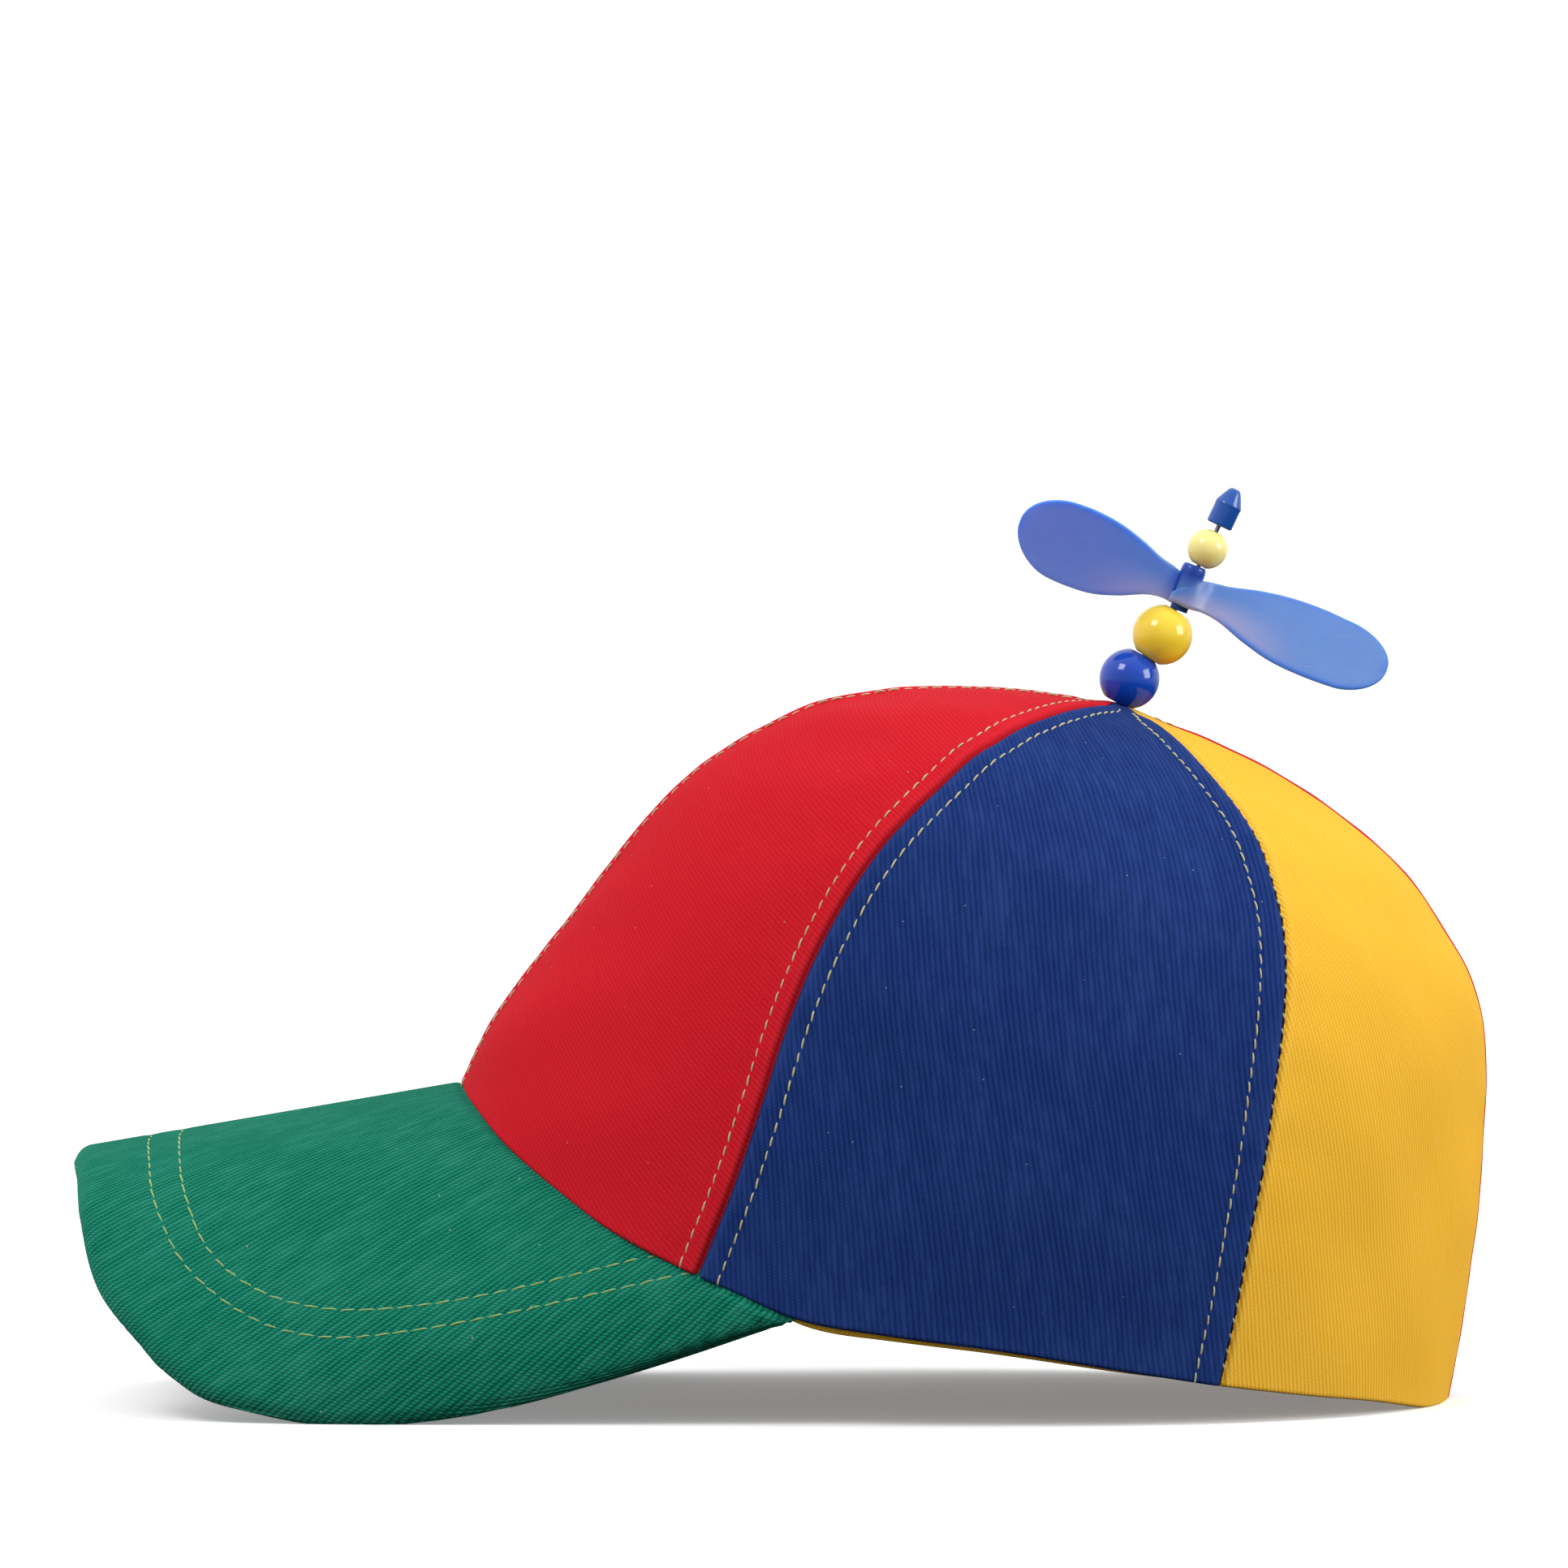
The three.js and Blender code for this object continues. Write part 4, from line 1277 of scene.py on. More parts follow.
    def plumb(self, cloth: np.ndarray, base: np.ndarray) -> np.ndarray:
        """Turn a panel's map so that its second axis stands upright where the cap rests.

        Args:
            cloth: Places on the cloth, across and up the panel.
            base: The same places in the crown's frame.

        Returns:
            The turned places.
        """
        row, column = base.shape[0] // 2, base.shape[1] // 2
        across = unit(base[row, column + 1] - base[row, column - 1])
        up = unit(base[row + 1, column] - base[row - 1, column])
        upright = self.rest.turn(np.stack((across, up)))[:, 2]
        lean = math.atan2(upright[0], upright[1])
        cosine, sine = math.cos(lean), math.sin(lean)
        return cloth @ np.array(((cosine, sine), (-sine, cosine)))

    def stitch_row(
        self,
        index: int,
        cut: PanelCut,
        share: np.ndarray,
        arc: np.ndarray,
        distance: float,
        at_end: bool,
    ) -> SewnRow:
        """Return the path of a row of stitches beside one of a panel's seams.

        Args:
            index: The panel's place from the front centre seam.
            cut: Its name, colour and rows.
            share: The ways up the panel of its rows of points.
            arc: The samples' distances from the first seam at each way up.
            distance: The row's distance from its seam in millimetres.
            at_end: Whether that is the last seam.

        Returns:
            The row, which stops short of the hem and the apex.
        """
        keep = slice(self.rows_below_thread, -self.rows_above_thread)
        share, arc = share[keep], arc[keep]
        width = arc[:, -1]
        inset = np.minimum(distance, self.row_convergence * width)
        offset = width - inset if at_end else inset
        place = index + self.ways_across(offset, arc)
        base, outward = self.form.face(place, share), self.form.outward(place, share)
        climb = run_lengths(base, 0) + self.hem_rows[self.rows_below_thread]
        height = self.relief(cut, offset, width - offset, climb, index) + self.thread_lift
        points = self.rest.place(base + outward * height[:, None])
        clear = points[:, 2] > self.clear_of_floor * MM
        return SewnRow(points[clear], self.rest.turn(outward)[clear])

    def seam_row(self, index: int, inset: float, depth: float, start: float) -> SewnRow:
        """Return a row's path on the edge of a panel's last seam, for the bare thread and for the
        painted seam shadow.

        Args:
            index: The panel.
            inset: Millimetres from the seam.
            depth: Millimetres below the crown's plain form.
            start: Millimetres by which the row begins later.

        Returns:
            The row.
        """
        fine = np.linspace(0, 1, 800)
        climb = run_lengths(self.form.face(index + 1, fine), 0)
        share = np.interp(np.arange(4.0 + start, climb[-1] - 15, 0.75), climb, fine)
        arc = self.arcs(index, share)
        place = index + self.ways_across(arc[:, -1] - inset, arc)
        base, outward = self.form.face(place, share), self.form.outward(place, share)
        points = self.rest.place(base - outward * depth)
        return SewnRow(points, self.rest.turn(outward))


@dataclass
class Visor:
    """A curved visor: coarse green twill over a stiff board, with two rows of stitches."""

    form: CrownForm
    rest: RestingPlace
    machine: StitchingMachine
    thickness: float = 3.0
    ribs: int = 220
    rows: int = 84
    crowding: float = 1.4
    puff_at_hem: float = 1.35
    puff_at_edge: float = 0.8
    tuck: float = 1.7
    edge_samples: int = 500
    row_samples: int = 700
    stitches: StitchSize = StitchSize(pitch=3.75, length=3.5, thickness=0.4, slant_deg=4, seed=3)

    def build(self, cloth: bpy.types.Material, thread: bpy.types.Material) -> None:
        """Make the visor and its stitches."""
        side = np.linspace(-1, 1, self.ribs + 1)
        across = np.sign(side) * (1 - (1 - np.abs(side)) ** self.crowding)
        along = 0.5 - 0.5 * np.cos(math.pi * np.linspace(0, 1, self.rows + 1))
        across, along = np.meshgrid(across, along)
        base, below = self.form.visor_face(across, along), self.form.visor_below(across, along)
        edge = self.form.visor_face(np.linspace(-1, 1, self.edge_samples), np.array(1.0))
        inset = self.distances(base, edge)
        length = run_lengths(base, 0)
        # Towards the temples the visor thins out into the seam.
        thin = lerp(0.12, 1, smooth_step(0.5, 24, length[-1]))
        roll = rolled_edge(inset, self.thickness / 2) * smooth_step(0, 3, length) * thin
        rows = [self.row_places(table) for table in VISOR_ROWS]
        dimple = np.zeros_like(inset)
        for places in rows:
            gap = self.distances(base, self.form.visor_face(*places))
            dimple += 0.25 * np.exp(-((gap / 0.6) ** 2))
        puff = self.puff(along, length, inset)
        upper = base + below * (roll + dimple - puff)[..., None]
        tucked = np.exp(-((length / 0.55) ** 2)) * smooth_step(3, 12, length[-1])
        upper[..., 2] += self.tuck * tucked
        lower = base + below * (self.thickness * thin - roll - dimple * 0.6)[..., None]
        # The cloth is cut flat and bent round the board, so its weave unrolls about the middle rib.
        start, end = self.form.visor_rib(np.zeros(1))
        forward = unit(end - start)[0]
        length = (base - start[0]) @ forward
        breadth = run_lengths(base - length[..., None] * forward, 1)
        centred = breadth - breadth[:, self.ribs // 2][:, None]
        weave = np.stack((length, centred), axis=-1)
        worn = 0.6 * np.exp(-inset / 1.2)
        piece = make_piece(
            "stitched_visor",
            self.rest.place(np.stack((upper, lower)), cloth=True),
            wall_faces(*across.shape),
            cloth,
            {"cloth_mm": np.stack((weave, weave)), "wear": np.stack((worn, worn))},
            sharp_deg=60,
        )
        install(piece, "cap", Slot.GREEN, "visor")
        sewn = [self.stitch_row(places, edge) for places in rows]
        install(
            self.machine.sew("visor_topstitching", sewn, self.stitches, thread), "cap", Slot.GREEN
        )

    def puff(self, along: np.ndarray, length: np.ndarray, inset: np.ndarray) -> np.ndarray:
        """Return how far the upper cloth stands above the board.

        Args:
            along: The way from the hem to the edge.
            length: The same in millimetres.
            inset: Millimetres from the edge.

        Returns:
            The heights in millimetres.
        """
        full = lerp(self.puff_at_hem, self.puff_at_edge, along)
        return full * smooth_step(0, 3, inset) * lerp(0.4, 1, smooth_step(0, 2.5, length))

    def distances(self, points: np.ndarray, line: np.ndarray) -> np.ndarray:
        """Return how far points of the visor lie from a line on it, in millimetres."""
        flat = points.reshape(-1, 3)
        nearest = np.empty(len(flat))
        for start in range(0, len(flat), 2000):
            block = flat[start : start + 2000]
            gaps = np.linalg.norm(block[:, None] - line[None], axis=-1)
            nearest[start : start + 2000] = gaps.min(axis=1)
        return nearest.reshape(points.shape[:-1])

    def row_places(self, table: SmoothTable) -> tuple[np.ndarray, np.ndarray]:
        """Return the places across and along the visor of a row from temple to temple."""
        last = table.places[-1]
        step = np.linspace(-last, last, self.row_samples)
        values = table.read(np.abs(step))
        return np.sign(step) * values[:, 0], np.clip(values[:, 1], 0, 1)

    def stitch_row(self, places: tuple[np.ndarray, np.ndarray], edge: np.ndarray) -> SewnRow:
        """Return the path of a row, sunk a little into the upper cloth."""
        across, along = places
        above = -self.form.visor_below(across, along)
        face = self.form.visor_face(across, along)
        start, _ = self.form.visor_rib(across)
        length = np.linalg.norm(face - start, axis=-1)
        height = self.puff(along, length, self.distances(face, edge)) - 0.14
        points = face + above * height[:, None]
        shown = length > 0.8
        return SewnRow(self.rest.place(points)[shown], self.rest.turn(above)[shown])


@dataclass
class Sweatband:
    """A band of yellow twill inside the hem, which shows as a thin strip under the left hem."""

    form: CrownForm
    rest: RestingPlace
    depth: float = 1.8
    wall: float = 1.0
    height: float = 30.0
    showing: float = 0.85
    rows: int = 30
    columns: int = 360

    def build(self, cloth: bpy.types.Material) -> None:
        """Make the band as one closed ring with a rolled lower edge."""
        reach = self.height / self.form.height
        level = next(i for i, row in enumerate(CROWN_RINGS) if row[1] > reach)
        below, above = CROWN_RINGS[level - 1][1], CROWN_RINGS[level][1]
        top = (level - 1 + (reach - below) / (above - below)) / TOP_LEVEL
        rise = np.linspace(0, 1, self.rows + 1) ** 1.8
        start = 3 + np.linspace(0, PANEL_COUNT, self.columns + 1)
        panel, share = np.meshgrid(start, rise * top)
        base, outward = self.form.face(panel, share), self.form.outward(panel, share)
        ring = RING_TABLE.read(np.zeros_like(panel))
        shown = BAND_TABLE.read(self.form.bearing(panel, ring))[..., 0] * self.showing
        base[..., 2] -= shown * np.exp(-((rise[:, None] * self.height / 6) ** 2))
        climb = run_lengths(base, 0)
        roll = rolled_edge(climb, self.wall / 2)
        outer = base - outward * (self.depth + roll)[..., None]
        inner = base - outward * (self.depth + self.wall - roll)[..., None]
        weave = np.stack((run_lengths(base, 1), climb), axis=-1)
        piece = make_piece(
            "twill_sweatband",
            self.rest.place(np.stack((outer, inner)), cloth=True),
            wall_faces(*panel.shape),
            cloth,
            {"cloth_mm": np.stack((weave, weave)), "wear": np.stack((climb * 0, climb * 0))},
        )
        install(piece, "cap", Slot.YELLOW, "sweatband")


def rounded_outline(
    corners: list[tuple[float, float, float]], steps: int = 5
) -> list[tuple[float, float]]:
    """Round the corners of a closed outline.

    Args:
        corners: Radius, height and rounding of each corner in millimetres.
        steps: Points on each rounding.

    Returns:
        The outline's points as radius and height.
    """
    points = []
    count = len(corners)
    for i, (radius, height, rounding) in enumerate(corners):
        here = np.array((radius, height))
        if rounding <= 0:
            points.append((radius, height))
            continue
        for other, order in ((corners[i - 1], "in"), (corners[(i + 1) % count], "out")):
            way = np.array(other[:2]) - here
            cut = here + way / np.linalg.norm(way) * min(rounding, np.linalg.norm(way) * 0.45)
            if order == "in":
                start = cut
            else:
                end = cut
        for share in np.linspace(0, 1, steps):
            bend = (1 - share) ** 2 * start + 2 * share * (1 - share) * here + share**2 * end
            points.append(tuple(bend))
    return points


def turned_mesh(outline: list[tuple[float, float]], sides: int) -> tuple[np.ndarray, np.ndarray]:
    """Turn a closed outline about Z.

    Args:
        outline: Radius and height of its points. Points on the axis become poles.
        sides: Steps round the axis.

    Returns:
        The points in millimetres and the faces.
    """
    points, rings = [], []
    for radius, height in outline:
        if radius < 1e-6:
            rings.append([len(points)] * sides)
            points.append((0.0, 0.0, height))
            continue
        rings.append(list(range(len(points), len(points) + sides)))
        for i in range(sides):
            angle = 2 * math.pi * i / sides
            points.append((radius * math.cos(angle), radius * math.sin(angle), height))
    faces = []
    for low, high in zip(rings, rings[1:] + rings[:1]):
        for i in range(sides):
            j = (i + 1) % sides
            corners = list(dict.fromkeys((low[i], low[j], high[j], high[i])))
            if len(corners) > 2:
                faces.append(corners)
    return np.array(points), faces


@dataclass
class Topper:
    """A bent steel wire from inside the crown, with what it carries."""

    form: CrownForm
    rest: RestingPlace
    wire_diameter: float = 0.9
    wire_tail: float = 2.2
    foot_depth: float = 3.005
    foot_diameter: float = 12.0
    foot_thickness: float = 1.6
    large_diameter: float = 12.0
    large_height: float = 10.6
    large_swell: float = 0.24
    large_play: float = 1.7
    small_diameter: float = 8.0
    small_height: float = 7.4
    small_play: float = 1.1
    upper_slack: float = 0.65
    hub_height: float = 9.6
    hub_diameter: float = 5.0
    hub_play: float = 1.7
    hub_waist: float = 0.42
    hub_lean: float = 3.4
    long_reach: float = 43.0
    short_reach: float = 35.8
    blade_chord: float = 20.2
    blade_skew: float = 4.7
    blade_thickness: float = 0.9
    blade_bend: float = 0.9
    tip_round: float = 9.5
    wrap: float = 2.6
    wrap_out: float = 2.3
    rim_width: float = 1.0
    cap_drop: float = 0.9
    cap_diameter: float = 5.5
    cap_length: float = 8.0
    cap_bore_depth: float = 3.6
    bare_wire: float = 2.3
    piece_gap: float = 0.3
    bead_seat: float = 0.6

    def __post_init__(self) -> None:
        """Work out how far along the wire each piece sits, from the pieces' own heights."""
        self.lower_at = self.bead_seat + self.large_height / 2
        self.upper_at = self.lower_at + self.large_height + self.piece_gap
        self.hub_at = self.upper_at + (self.large_height + self.hub_height) / 2 + self.piece_gap
        self.small_at = self.hub_at + (self.hub_height + self.small_height) / 2 + self.piece_gap
        self.cap_at = self.small_at + self.small_height / 2 + self.bare_wire
        self.end_at = self.cap_at + self.cap_bore_depth - self.piece_gap

    def wire_place(self, distance: float) -> tuple[np.ndarray, float]:
        """Return the wire's point and its lean in degrees at a distance above the apex."""
        steps = 40
        step = distance / steps
        middles = (np.arange(steps) + 0.5) * step / self.end_at
        lean = np.radians(WIRE_TABLE.read(middles)[:, 0])
        run = np.array((np.sin(lean).sum(), 0.0, np.cos(lean).sum())) * step
        point = np.array((-self.form.apex_forward, 0.0, self.form.height)) + run
        return point, float(WIRE_TABLE.read(distance / self.end_at)[0])

    def on_wire(
        self, points: np.ndarray, distance: float, lean: float | None = None, slack: float = 0.0
    ) -> np.ndarray:
        """Put a piece made about Z on the wire.

        Args:
            points: Its points in millimetres.
            distance: Where its middle sits along the wire.
            lean: Its own lean in degrees, if it doesn't follow the wire's.
            slack: How far it hangs off the wire.

        Returns:
            The points in metres where the cap rests.
        """
        point, own = self.wire_place(distance)
        tilt = math.radians(own if lean is None else lean)
        aside = np.array((math.cos(tilt), 0.0, -math.sin(tilt)))
        upright = np.array((math.sin(tilt), 0.0, math.cos(tilt)))
        x, y, z = points[..., :1], points[..., 1:2], points[..., 2:]
        turned = x * aside + y * np.array((0.0, 1.0, 0.0)) + z * upright
        return self.rest.place(turned + point + aside * slack)

    def bead_outline(self, diameter: float, height: float, play: float) -> list:
        """Return a bead's outline: a ball with flattened ends and a bore with rounded rims."""
        bore = (self.wire_diameter + play) / 2
        rim = math.asin(height / diameter)
        angles = np.linspace(-rim, rim, 33)
        ball = [(diameter / 2 * math.cos(a), diameter / 2 * math.sin(a), 0.0) for a in angles]
        corners = [(bore, -height / 2, 0.55), *ball, (bore, height / 2, 0.55)]
        return rounded_outline(corners)

    def build(self, finishes: dict[Slot, bpy.types.Material]) -> None:
        """Make every piece of the topper.

        Args:
            finishes: The plastics and the metal by slot.
        """
        self.wire(finishes[Slot.WIRE])
        self.foot(finishes[Slot.FOOT])
        slack = self.upper_slack * self.large_play / 2
        large = (self.large_diameter, self.large_height + self.large_swell, self.large_play)
        small = (self.small_diameter, self.small_height, self.small_play)
        beads = (
            ("moulded_blue_bead", "lower_bead", Slot.BLUE_BEAD, large, self.lower_at, 0.0),
            ("moulded_yellow_bead", "upper_bead", Slot.YELLOW_BEAD, large, self.upper_at, slack),
            ("moulded_small_bead", "small_bead", Slot.PALE_BEAD, small, self.small_at, 0.0),
        )
        for name, node, slot, sizes, distance, hang in beads:
            points, faces = turned_mesh(self.bead_outline(*sizes), 72)
            placed = self.on_wire(points, distance, slack=hang)
            install(make_piece(name, placed, faces, finishes[slot]), node, slot, node)
        self.propeller(finishes[Slot.PROPELLER])
        self.end_cap(finishes[Slot.END_CAP])

    def wire(self, material: bpy.types.Material) -> None:
        """Make the wire as a round tube along its bends, with rounded ends."""
        start = -(self.foot_depth + self.foot_thickness / 2 + self.wire_tail)
        radius = self.wire_diameter / 2
        cap = radius * np.sin(np.linspace(0, math.pi / 2, 5))
        inner = np.linspace(start + radius, self.end_at - radius, 150)
        low = start + radius - radius * np.cos(np.linspace(0, math.pi / 2, 5))
        high = self.end_at - radius + radius * np.cos(np.linspace(math.pi / 2, 0, 5))
        distances = np.concatenate((low[:-1], inner, high[1:]))
        radii = np.concatenate((cap[:-1], np.full(len(inner), radius), cap[::-1][1:]))
        radii = np.maximum(radii, 0.02)
        sides = 16
        points = []
        for distance, size in zip(distances, radii):
            place, lean = self.wire_place(float(distance))
            tilt = math.radians(lean)
            aside = np.array((math.cos(tilt), 0.0, -math.sin(tilt)))
            for i in range(sides):
                angle = 2 * math.pi * i / sides
                ring = aside * math.cos(angle) + np.array((0.0, 1.0, 0.0)) * math.sin(angle)
                points.append(place + ring * size)
        faces = [list(range(sides))[::-1]]
        for row in range(len(distances) - 1):
            for i in range(sides):
                j = (i + 1) % sides
                a, b = row * sides, (row + 1) * sides
                faces.append([a + i, a + j, b + j, b + i])
        last = (len(distances) - 1) * sides
        faces.append(list(range(last, last + sides)))
        piece = make_piece("spring_wire", self.rest.place(np.array(points)), faces, material)
        install(piece, "cap", Slot.WIRE, "wire")

    def foot(self, material: bpy.types.Material) -> None:
        """Make the disc under the apex that holds the wire."""
        bore = (self.wire_diameter + 2 * self.piece_gap) / 2
        radius, half = self.foot_diameter / 2, self.foot_thickness / 2
        outline = rounded_outline(
            [(bore, -half, 0.15), (radius, -half, 0.5), (radius, half, 0.5), (bore, half, 0.15)]
        )
        points, faces = turned_mesh(outline, 64)
        placed = self.on_wire(points, -self.foot_depth, lean=0.0)
        install(make_piece("wire_disc", placed, faces, material), "cap", Slot.FOOT, "wire_foot")

    def blade(
        self, reach: float, skew: float, facing: float
    ) -> tuple[np.ndarray, np.ndarray, np.ndarray]:
        """Make one blade that reaches out from the hub.

        Args:
            reach: How far its tip is from the hub's axis.
            skew: Degrees by which it is steeper than the table.
            facing: 1 for a blade along +X and -1 for one along -X.

        Returns:
            The points in millimetres and the faces of a closed blade, and each point's share of
            the painted rim highlight, the painted root light and the painted hub shade.
        """
        bore = (self.wire_diameter + self.hub_play) / 2
        start = lerp(bore, self.hub_diameter / 2, 0.33)
        first = -(self.wrap + start) / (reach - start)
        out = 1 - (1 - first) * (1 - np.linspace(0, 1, 80)) ** 1.3
        across = np.linspace(-1, 1, 37)
        across = np.sin(across * math.pi / 2)
        row = BLADE_TABLE.read(out)
        pitch = np.radians(row[:, 2] + skew)[:, None]
        away = lerp(start, reach, out)[:, None]
        past = np.clip(away[:, 0] - (reach - self.tip_round), 0, None) / self.tip_round
        tip = np.sqrt(np.clip(1 - past**2, 0.0004, 1))
        chord = (row[:, 0] * tip * self.blade_chord)[:, None]
        along = across[None, :] / 2 * chord
        to_edge = np.minimum((1 - np.abs(across))[None, :] * chord / 2, reach - away)
        flow = np.sqrt(1 - (1 - np.clip(to_edge / 0.55, 0, 1)) ** 2)
        near = 1 + 0.5 * np.exp(-np.clip(away - self.hub_diameter / 2, 0, 99) / 1.1)
        half = self.blade_thickness / 2 * near * np.maximum(flow, 0.04)
        # The root doesn't run into the hub's middle but wraps round its face like a leaf.
        aside = -self.wrap_out * (1 - smooth_step(0.5, 6.0, away))
        bend = -facing * self.blade_bend * np.clip(away / self.long_reach, 0, 1)
        centre = row[:, 1][:, None] * self.blade_chord + bend
        skins = []
        for side in (1, -1):
            thick = half * side
            x = np.broadcast_to(away, along.shape)
            y = aside + along * np.cos(pitch) - thick * np.sin(pitch)
            z = centre + along * np.sin(pitch) + thick * np.cos(pitch)
            skins.append(np.stack((x * facing, y * facing, z), axis=-1))
        points = np.stack(skins)
        # Shares of painted light: a painted highlight along the edges and painted pale light at the
        # lower root.
        rim = np.exp(-((to_edge / self.rim_width) ** 2)) * smooth_step(0.05, 0.3, out)[:, None]
        low = 1 - smooth_step(-0.9, 0.5, across)[None, :]
        root = (1 - smooth_step(0.15, 0.65, out))[:, None] * low
        painted_light_shares = np.stack((rim + 0 * root, root, 0 * root), axis=-1)
        faces = wall_faces(len(out), len(across))
        return points.reshape(-1, 3), faces, np.stack((painted_light_shares, painted_light_shares)).reshape(-1, 3)

    def propeller(self, material: bpy.types.Material) -> None:
        """Make the hub and its two blades as one moulding."""
        bore = (self.wire_diameter + self.hub_play) / 2
        radius, half = self.hub_diameter / 2, self.hub_height / 2
        waist = lerp(bore, radius, self.hub_waist)
        outline = rounded_outline(
            [
                (bore, -half, 0.1),
                (waist, -half, 0.25),
                (waist * 1.02, -half * 0.72, 0.2),
                (radius, -half / 2, 0.5),
                (radius, half, 1.9),
                (bore, half, 0.2),
            ]
        )
        hub_points, hub_faces = turned_mesh(outline, 72)
        # The hub takes the whole of the painted deeper shade, where less light passes through its
        # thick plastic.
        parts = [(hub_points, hub_faces, np.tile((0.0, 0.0, 1.0), (len(hub_points), 1)))]
        parts.append(self.blade(self.long_reach, -self.blade_skew, 1.0))
        parts.append(self.blade(self.short_reach, self.blade_skew, -1.0))
        shapes = []
        looks = KDTree(sum(len(points) for points, _, _ in parts))
        painted_light_shares = np.concatenate([mark for _, _, mark in parts])
        for i, (points, faces, _) in enumerate(parts):
            placed = self.on_wire(points, self.hub_at, lean=self.hub_lean)
            for j, point in enumerate(placed):
                looks.insert(point, j + sum(len(part[0]) for part in parts[:i]))
            shapes.append(make_piece(f"propeller_part_{i}", placed, faces, material))
        looks.balance()
        hub = shapes[0]
        for blade in shapes[1:]:
            union = hub.modifiers.new("join", "BOOLEAN")
            union.operation, union.object, union.solver = "UNION", blade, "EXACT"
        evaluated = hub.evaluated_get(bpy.context.evaluated_depsgraph_get())
        mesh = bpy.data.meshes.new_from_object(evaluated)
        for shape in shapes:
            bpy.data.objects.remove(shape)
        source = [looks.find(vertex.co)[1] for vertex in mesh.vertices]
        # Each point keeps its shares of the painted rim highlight, root light and hub shade.
        for column, name in enumerate(("rim", "root", "hub")):
            layer = mesh.attributes.new(name, "FLOAT", "POINT")
            layer.data.foreach_set("value", painted_light_shares[source, column].astype(np.float32))
        shade_smooth(mesh, 40)
        piece = link_object("moulded_propeller", mesh)
        install(piece, "propeller", Slot.PROPELLER, "propeller")

    def end_cap(self, material: bpy.types.Material) -> None:
        """Make the cap pressed on the wire's end."""
        bore = (self.wire_diameter + 2 * self.piece_gap) / 2
        radius, length = self.cap_diameter / 2, self.cap_length
        outline = rounded_outline(
            [
                (0.0, self.cap_bore_depth, 0.0),
                (bore, self.cap_bore_depth, 0.0),
                (bore, 0.0, 0.25),
                (radius * 0.97, 0.0, 0.5),
                (radius * 0.97, length * 0.5, 0.3),
                (radius, length * 0.58, 0.3),
                (radius * 0.9, length * 0.65, 0.4),
                (radius * 0.62, length * 0.85, 0.6),
                (radius * 0.36, length, 0.7),
                (0.0, length, 0.0),
            ]
        )
        points, faces = turned_mesh(outline, 56)
        placed = self.on_wire(points, self.cap_at - self.cap_drop)
        piece = make_piece("pressed_end_cap", placed, faces, material)
        install(piece, "cap", Slot.END_CAP, "end_cap")


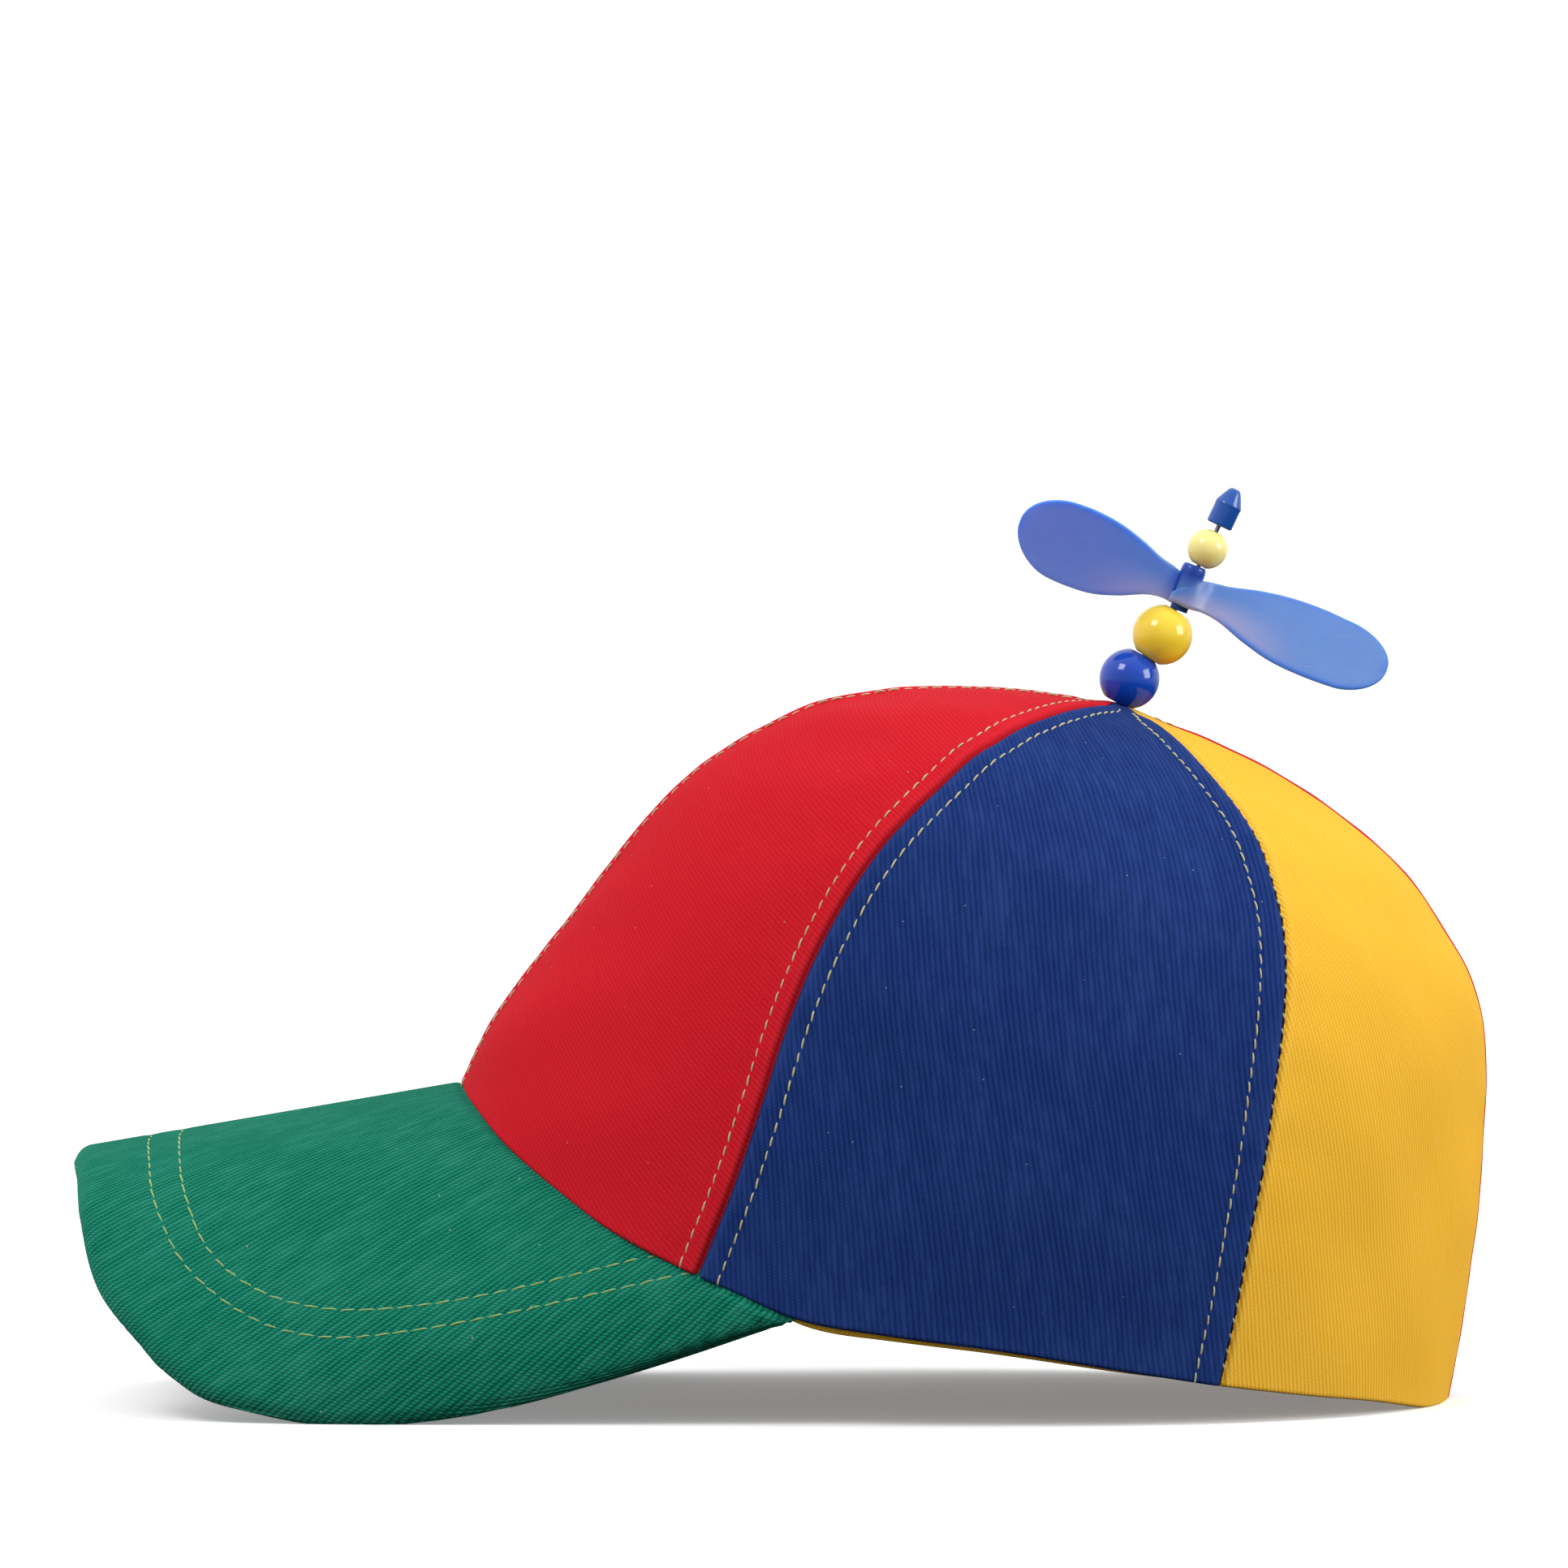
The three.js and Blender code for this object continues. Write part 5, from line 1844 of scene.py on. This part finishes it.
@dataclass(frozen=True)
class Studio:
    """A plain pale floor, soft white light and the camera at the photograph's angle."""

    camera_place: tuple[float, float, float] = (0.0001, -2.498, 0.188)
    camera_down_deg: float = 1.509
    lens: float = 288.8
    floor_half: float = 60.0
    sky_strength: float = 1.06
    sky_top: float = 1.2
    sky_below: float = 0.02
    sky_front: float = 0.5
    floor_glow: float = 0.22
    key_power: float = 25.0
    side_power: float = 30.0
    aim: tuple[float, float, float] = (0.02, 0.0, 0.08)

    def build(self) -> None:
        """Make the floor, the lights and the camera."""
        half = self.floor_half
        corners = [(-half, -half, 0), (half, -half, 0), (half, half, 0), (-half, half, 0)]
        mesh = bpy.data.meshes.new("studio_floor")
        mesh.from_pydata(corners, [], [(0, 1, 2, 3)])
        material, _ = new_material(
            "painted_studio_floor",
            {
                "Base Color": (0.95, 0.95, 0.95, 1),
                "Roughness": 0.9,
                "Specular IOR Level": 0.1,
                "Emission Color": (1, 1, 1, 1),
                "Emission Strength": self.floor_glow,
            },
        )
        mesh.materials.append(material)
        floor = link_object("studio_floor", mesh)
        # The floor throws no light back up, so undersides turn as dark as on a deep table.
        floor.visible_diffuse = False
        floor.visible_glossy = False

        world = bpy.data.worlds.new("studio_sky")
        world.use_nodes = True
        tree = world.node_tree
        direction = add_node(tree, "ShaderNodeTexCoord").outputs["Generated"]
        height = add_node(tree, "ShaderNodeSeparateXYZ", {0: direction}).outputs[2]
        dusk = add_node(
            tree,
            "ShaderNodeMapRange",
            {0: height, 1: -0.35, 2: -0.02, 3: self.sky_below, 4: self.sky_strength},
        )
        zenith = add_node(
            tree, "ShaderNodeMapRange", {0: height, 1: 0.15, 2: 0.9, 3: 1.0, 4: self.sky_top}
        )
        front = add_node(tree, "ShaderNodeSeparateXYZ", {0: direction}).outputs[1]
        dim = add_node(
            tree, "ShaderNodeMapRange", {0: front, 1: -0.95, 2: 0.05, 3: self.sky_front, 4: 1.0}
        )
        light = dusk.outputs[0]
        for share in (zenith, dim):
            light = add_node(
                tree, "ShaderNodeMath", {0: light, 1: share.outputs[0]}, operation="MULTIPLY"
            ).outputs[0]
        tree.links.new(light, tree.nodes["Background"].inputs["Strength"])
        tree.nodes["Background"].inputs["Color"].default_value = (1, 1, 1, 1)
        bpy.context.scene.world = world

        self.soft_box("key_light", (-1.1, -1.3, 1.9), 0.9, self.key_power)
        self.soft_box("side_light", (2.2, -0.7, 0.75), 1.1, self.side_power)

        data = bpy.data.cameras.new("photo_camera")
        data.lens = self.lens
        data.sensor_width = 36
        data.clip_start, data.clip_end = 0.1, 300
        camera = link_object("photo_camera", data)
        camera.location = self.camera_place
        camera.rotation_euler = (math.radians(90 - self.camera_down_deg), 0, 0)
        bpy.context.scene.camera = camera
        bpy.context.scene.view_settings.view_transform = "Standard"

    def soft_box(
        self, name: str, place: tuple[float, float, float], size: float, power: float
    ) -> None:
        """Add a square soft light that faces the cap.

        Args:
            name: The light's name.
            place: Where it hangs, in metres.
            size: Its side in metres.
            power: In watts.
        """
        data = bpy.data.lights.new(name, "AREA")
        data.size, data.energy = size, power
        light = link_object(name, data)
        light.location = place
        aim = np.array(self.aim) - np.array(place)
        flat = math.hypot(aim[0], aim[1])
        light.rotation_euler = (math.atan2(flat, -aim[2]), 0, math.atan2(-aim[0], aim[1]))


TWILLS = {
    Slot.RED: TwillFinish(
        "red_cotton_twill",
        "#c71926",
        "#980b17",
        "#d83c46",
        rib_spacing=0.83,
        rib_deg=-55,
        rib_contrast=0.26,
        pinholes=0.5,
        streak=0.2,
        sheen=0.12,
    ),
    Slot.BLUE: TwillFinish(
        "blue_cotton_twill",
        "#1c3778",
        "#081540",
        "#4161a8",
        rib_spacing=1.08,
        rib_deg=-4,
        rib_contrast=0.7,
        float_length=0.62,
        float_shear=0.5,
        float_depth=0.5,
        grain=0.8,
        streak=0.45,
        sheen=0.1,
    ),
    Slot.YELLOW: TwillFinish(
        "yellow_cotton_twill",
        "#f2ba38",
        "#cc8f1c",
        "#f8d068",
        rib_spacing=0.9,
        rib_deg=-8,
        rib_contrast=0.42,
        float_length=0.75,
        float_shear=0.5,
        float_depth=0.5,
        grain=0.7,
        pinholes=0.6,
        streak=0.3,
    ),
    Slot.GREEN: TwillFinish(
        "coarse_green_cotton_twill",
        "#14896e",
        "#023a2a",
        "#4eb399",
        rib_spacing=1.0,
        rib_deg=65,
        rib_contrast=0.85,
        float_length=0.75,
        float_shear=1.08,
        float_depth=0.75,
        grain=0.9,
        streak=0.5,
        lint=0.6,
        relief=0.2,
    ),
}

PLASTICS = {
    Slot.BLUE_BEAD: PlasticFinish("gloss_blue_polystyrene", "#104abe", "#0c3ea8"),
    Slot.YELLOW_BEAD: PlasticFinish("gloss_yellow_polystyrene", "#f8d940", "#f0ce34", glow=0.15),
    Slot.PALE_BEAD: PlasticFinish("gloss_pale_yellow_polystyrene", "#fcf09c", "#f6e48a", glow=0.2),
    Slot.PROPELLER: BladeFinish(
        "satin_blue_polypropylene",
        "#5079bc",
        "#4770b4",
        roughness=0.3,
        shine=0.3,
        glow=1.0,
        glow_depth=0.004,
    ),
    Slot.END_CAP: PlasticFinish("gloss_blue_vinyl", "#2258b2", "#1a4a9c", roughness=0.14),
    Slot.FOOT: PlasticFinish(
        "moulded_white_polyethylene", "#d8d8d4", "#cfcfca", roughness=0.45, coat=0.0
    ),
}


def main() -> None:
    """Build the studio and the cap in order."""
    logging.basicConfig(level=logging.INFO, format="%(message)s")
    Studio().build()
    form, rest = CrownForm(), RestingPlace()
    machine = StitchingMachine()
    cloths = {slot: finish.material() for slot, finish in TWILLS.items()}
    crown_thread = ThreadFinish("cream_polyester_thread", "#cfc9a2", "#8e8a66").material()
    visor_thread = ThreadFinish("pale_green_polyester_thread", "#a6c47c", "#5f8548").material()
    # A dark maroon finish for the painted shadow deep in the open seams.
    seam_shadow_finish = ThreadFinish("maroon_painted_seam_shadow", "#5a1a1e", "#2c0a10").material()
    Crown(form, rest, machine).build(cloths, crown_thread, seam_shadow_finish)
    Visor(form, rest, machine).build(cloths[Slot.GREEN], visor_thread)
    Sweatband(form, rest).build(cloths[Slot.YELLOW])
    plastics = {slot: finish.material() for slot, finish in PLASTICS.items()}
    Topper(form, rest).build({**plastics, Slot.WIRE: WireFinish().material()})


if __name__ == "__main__":
    main()
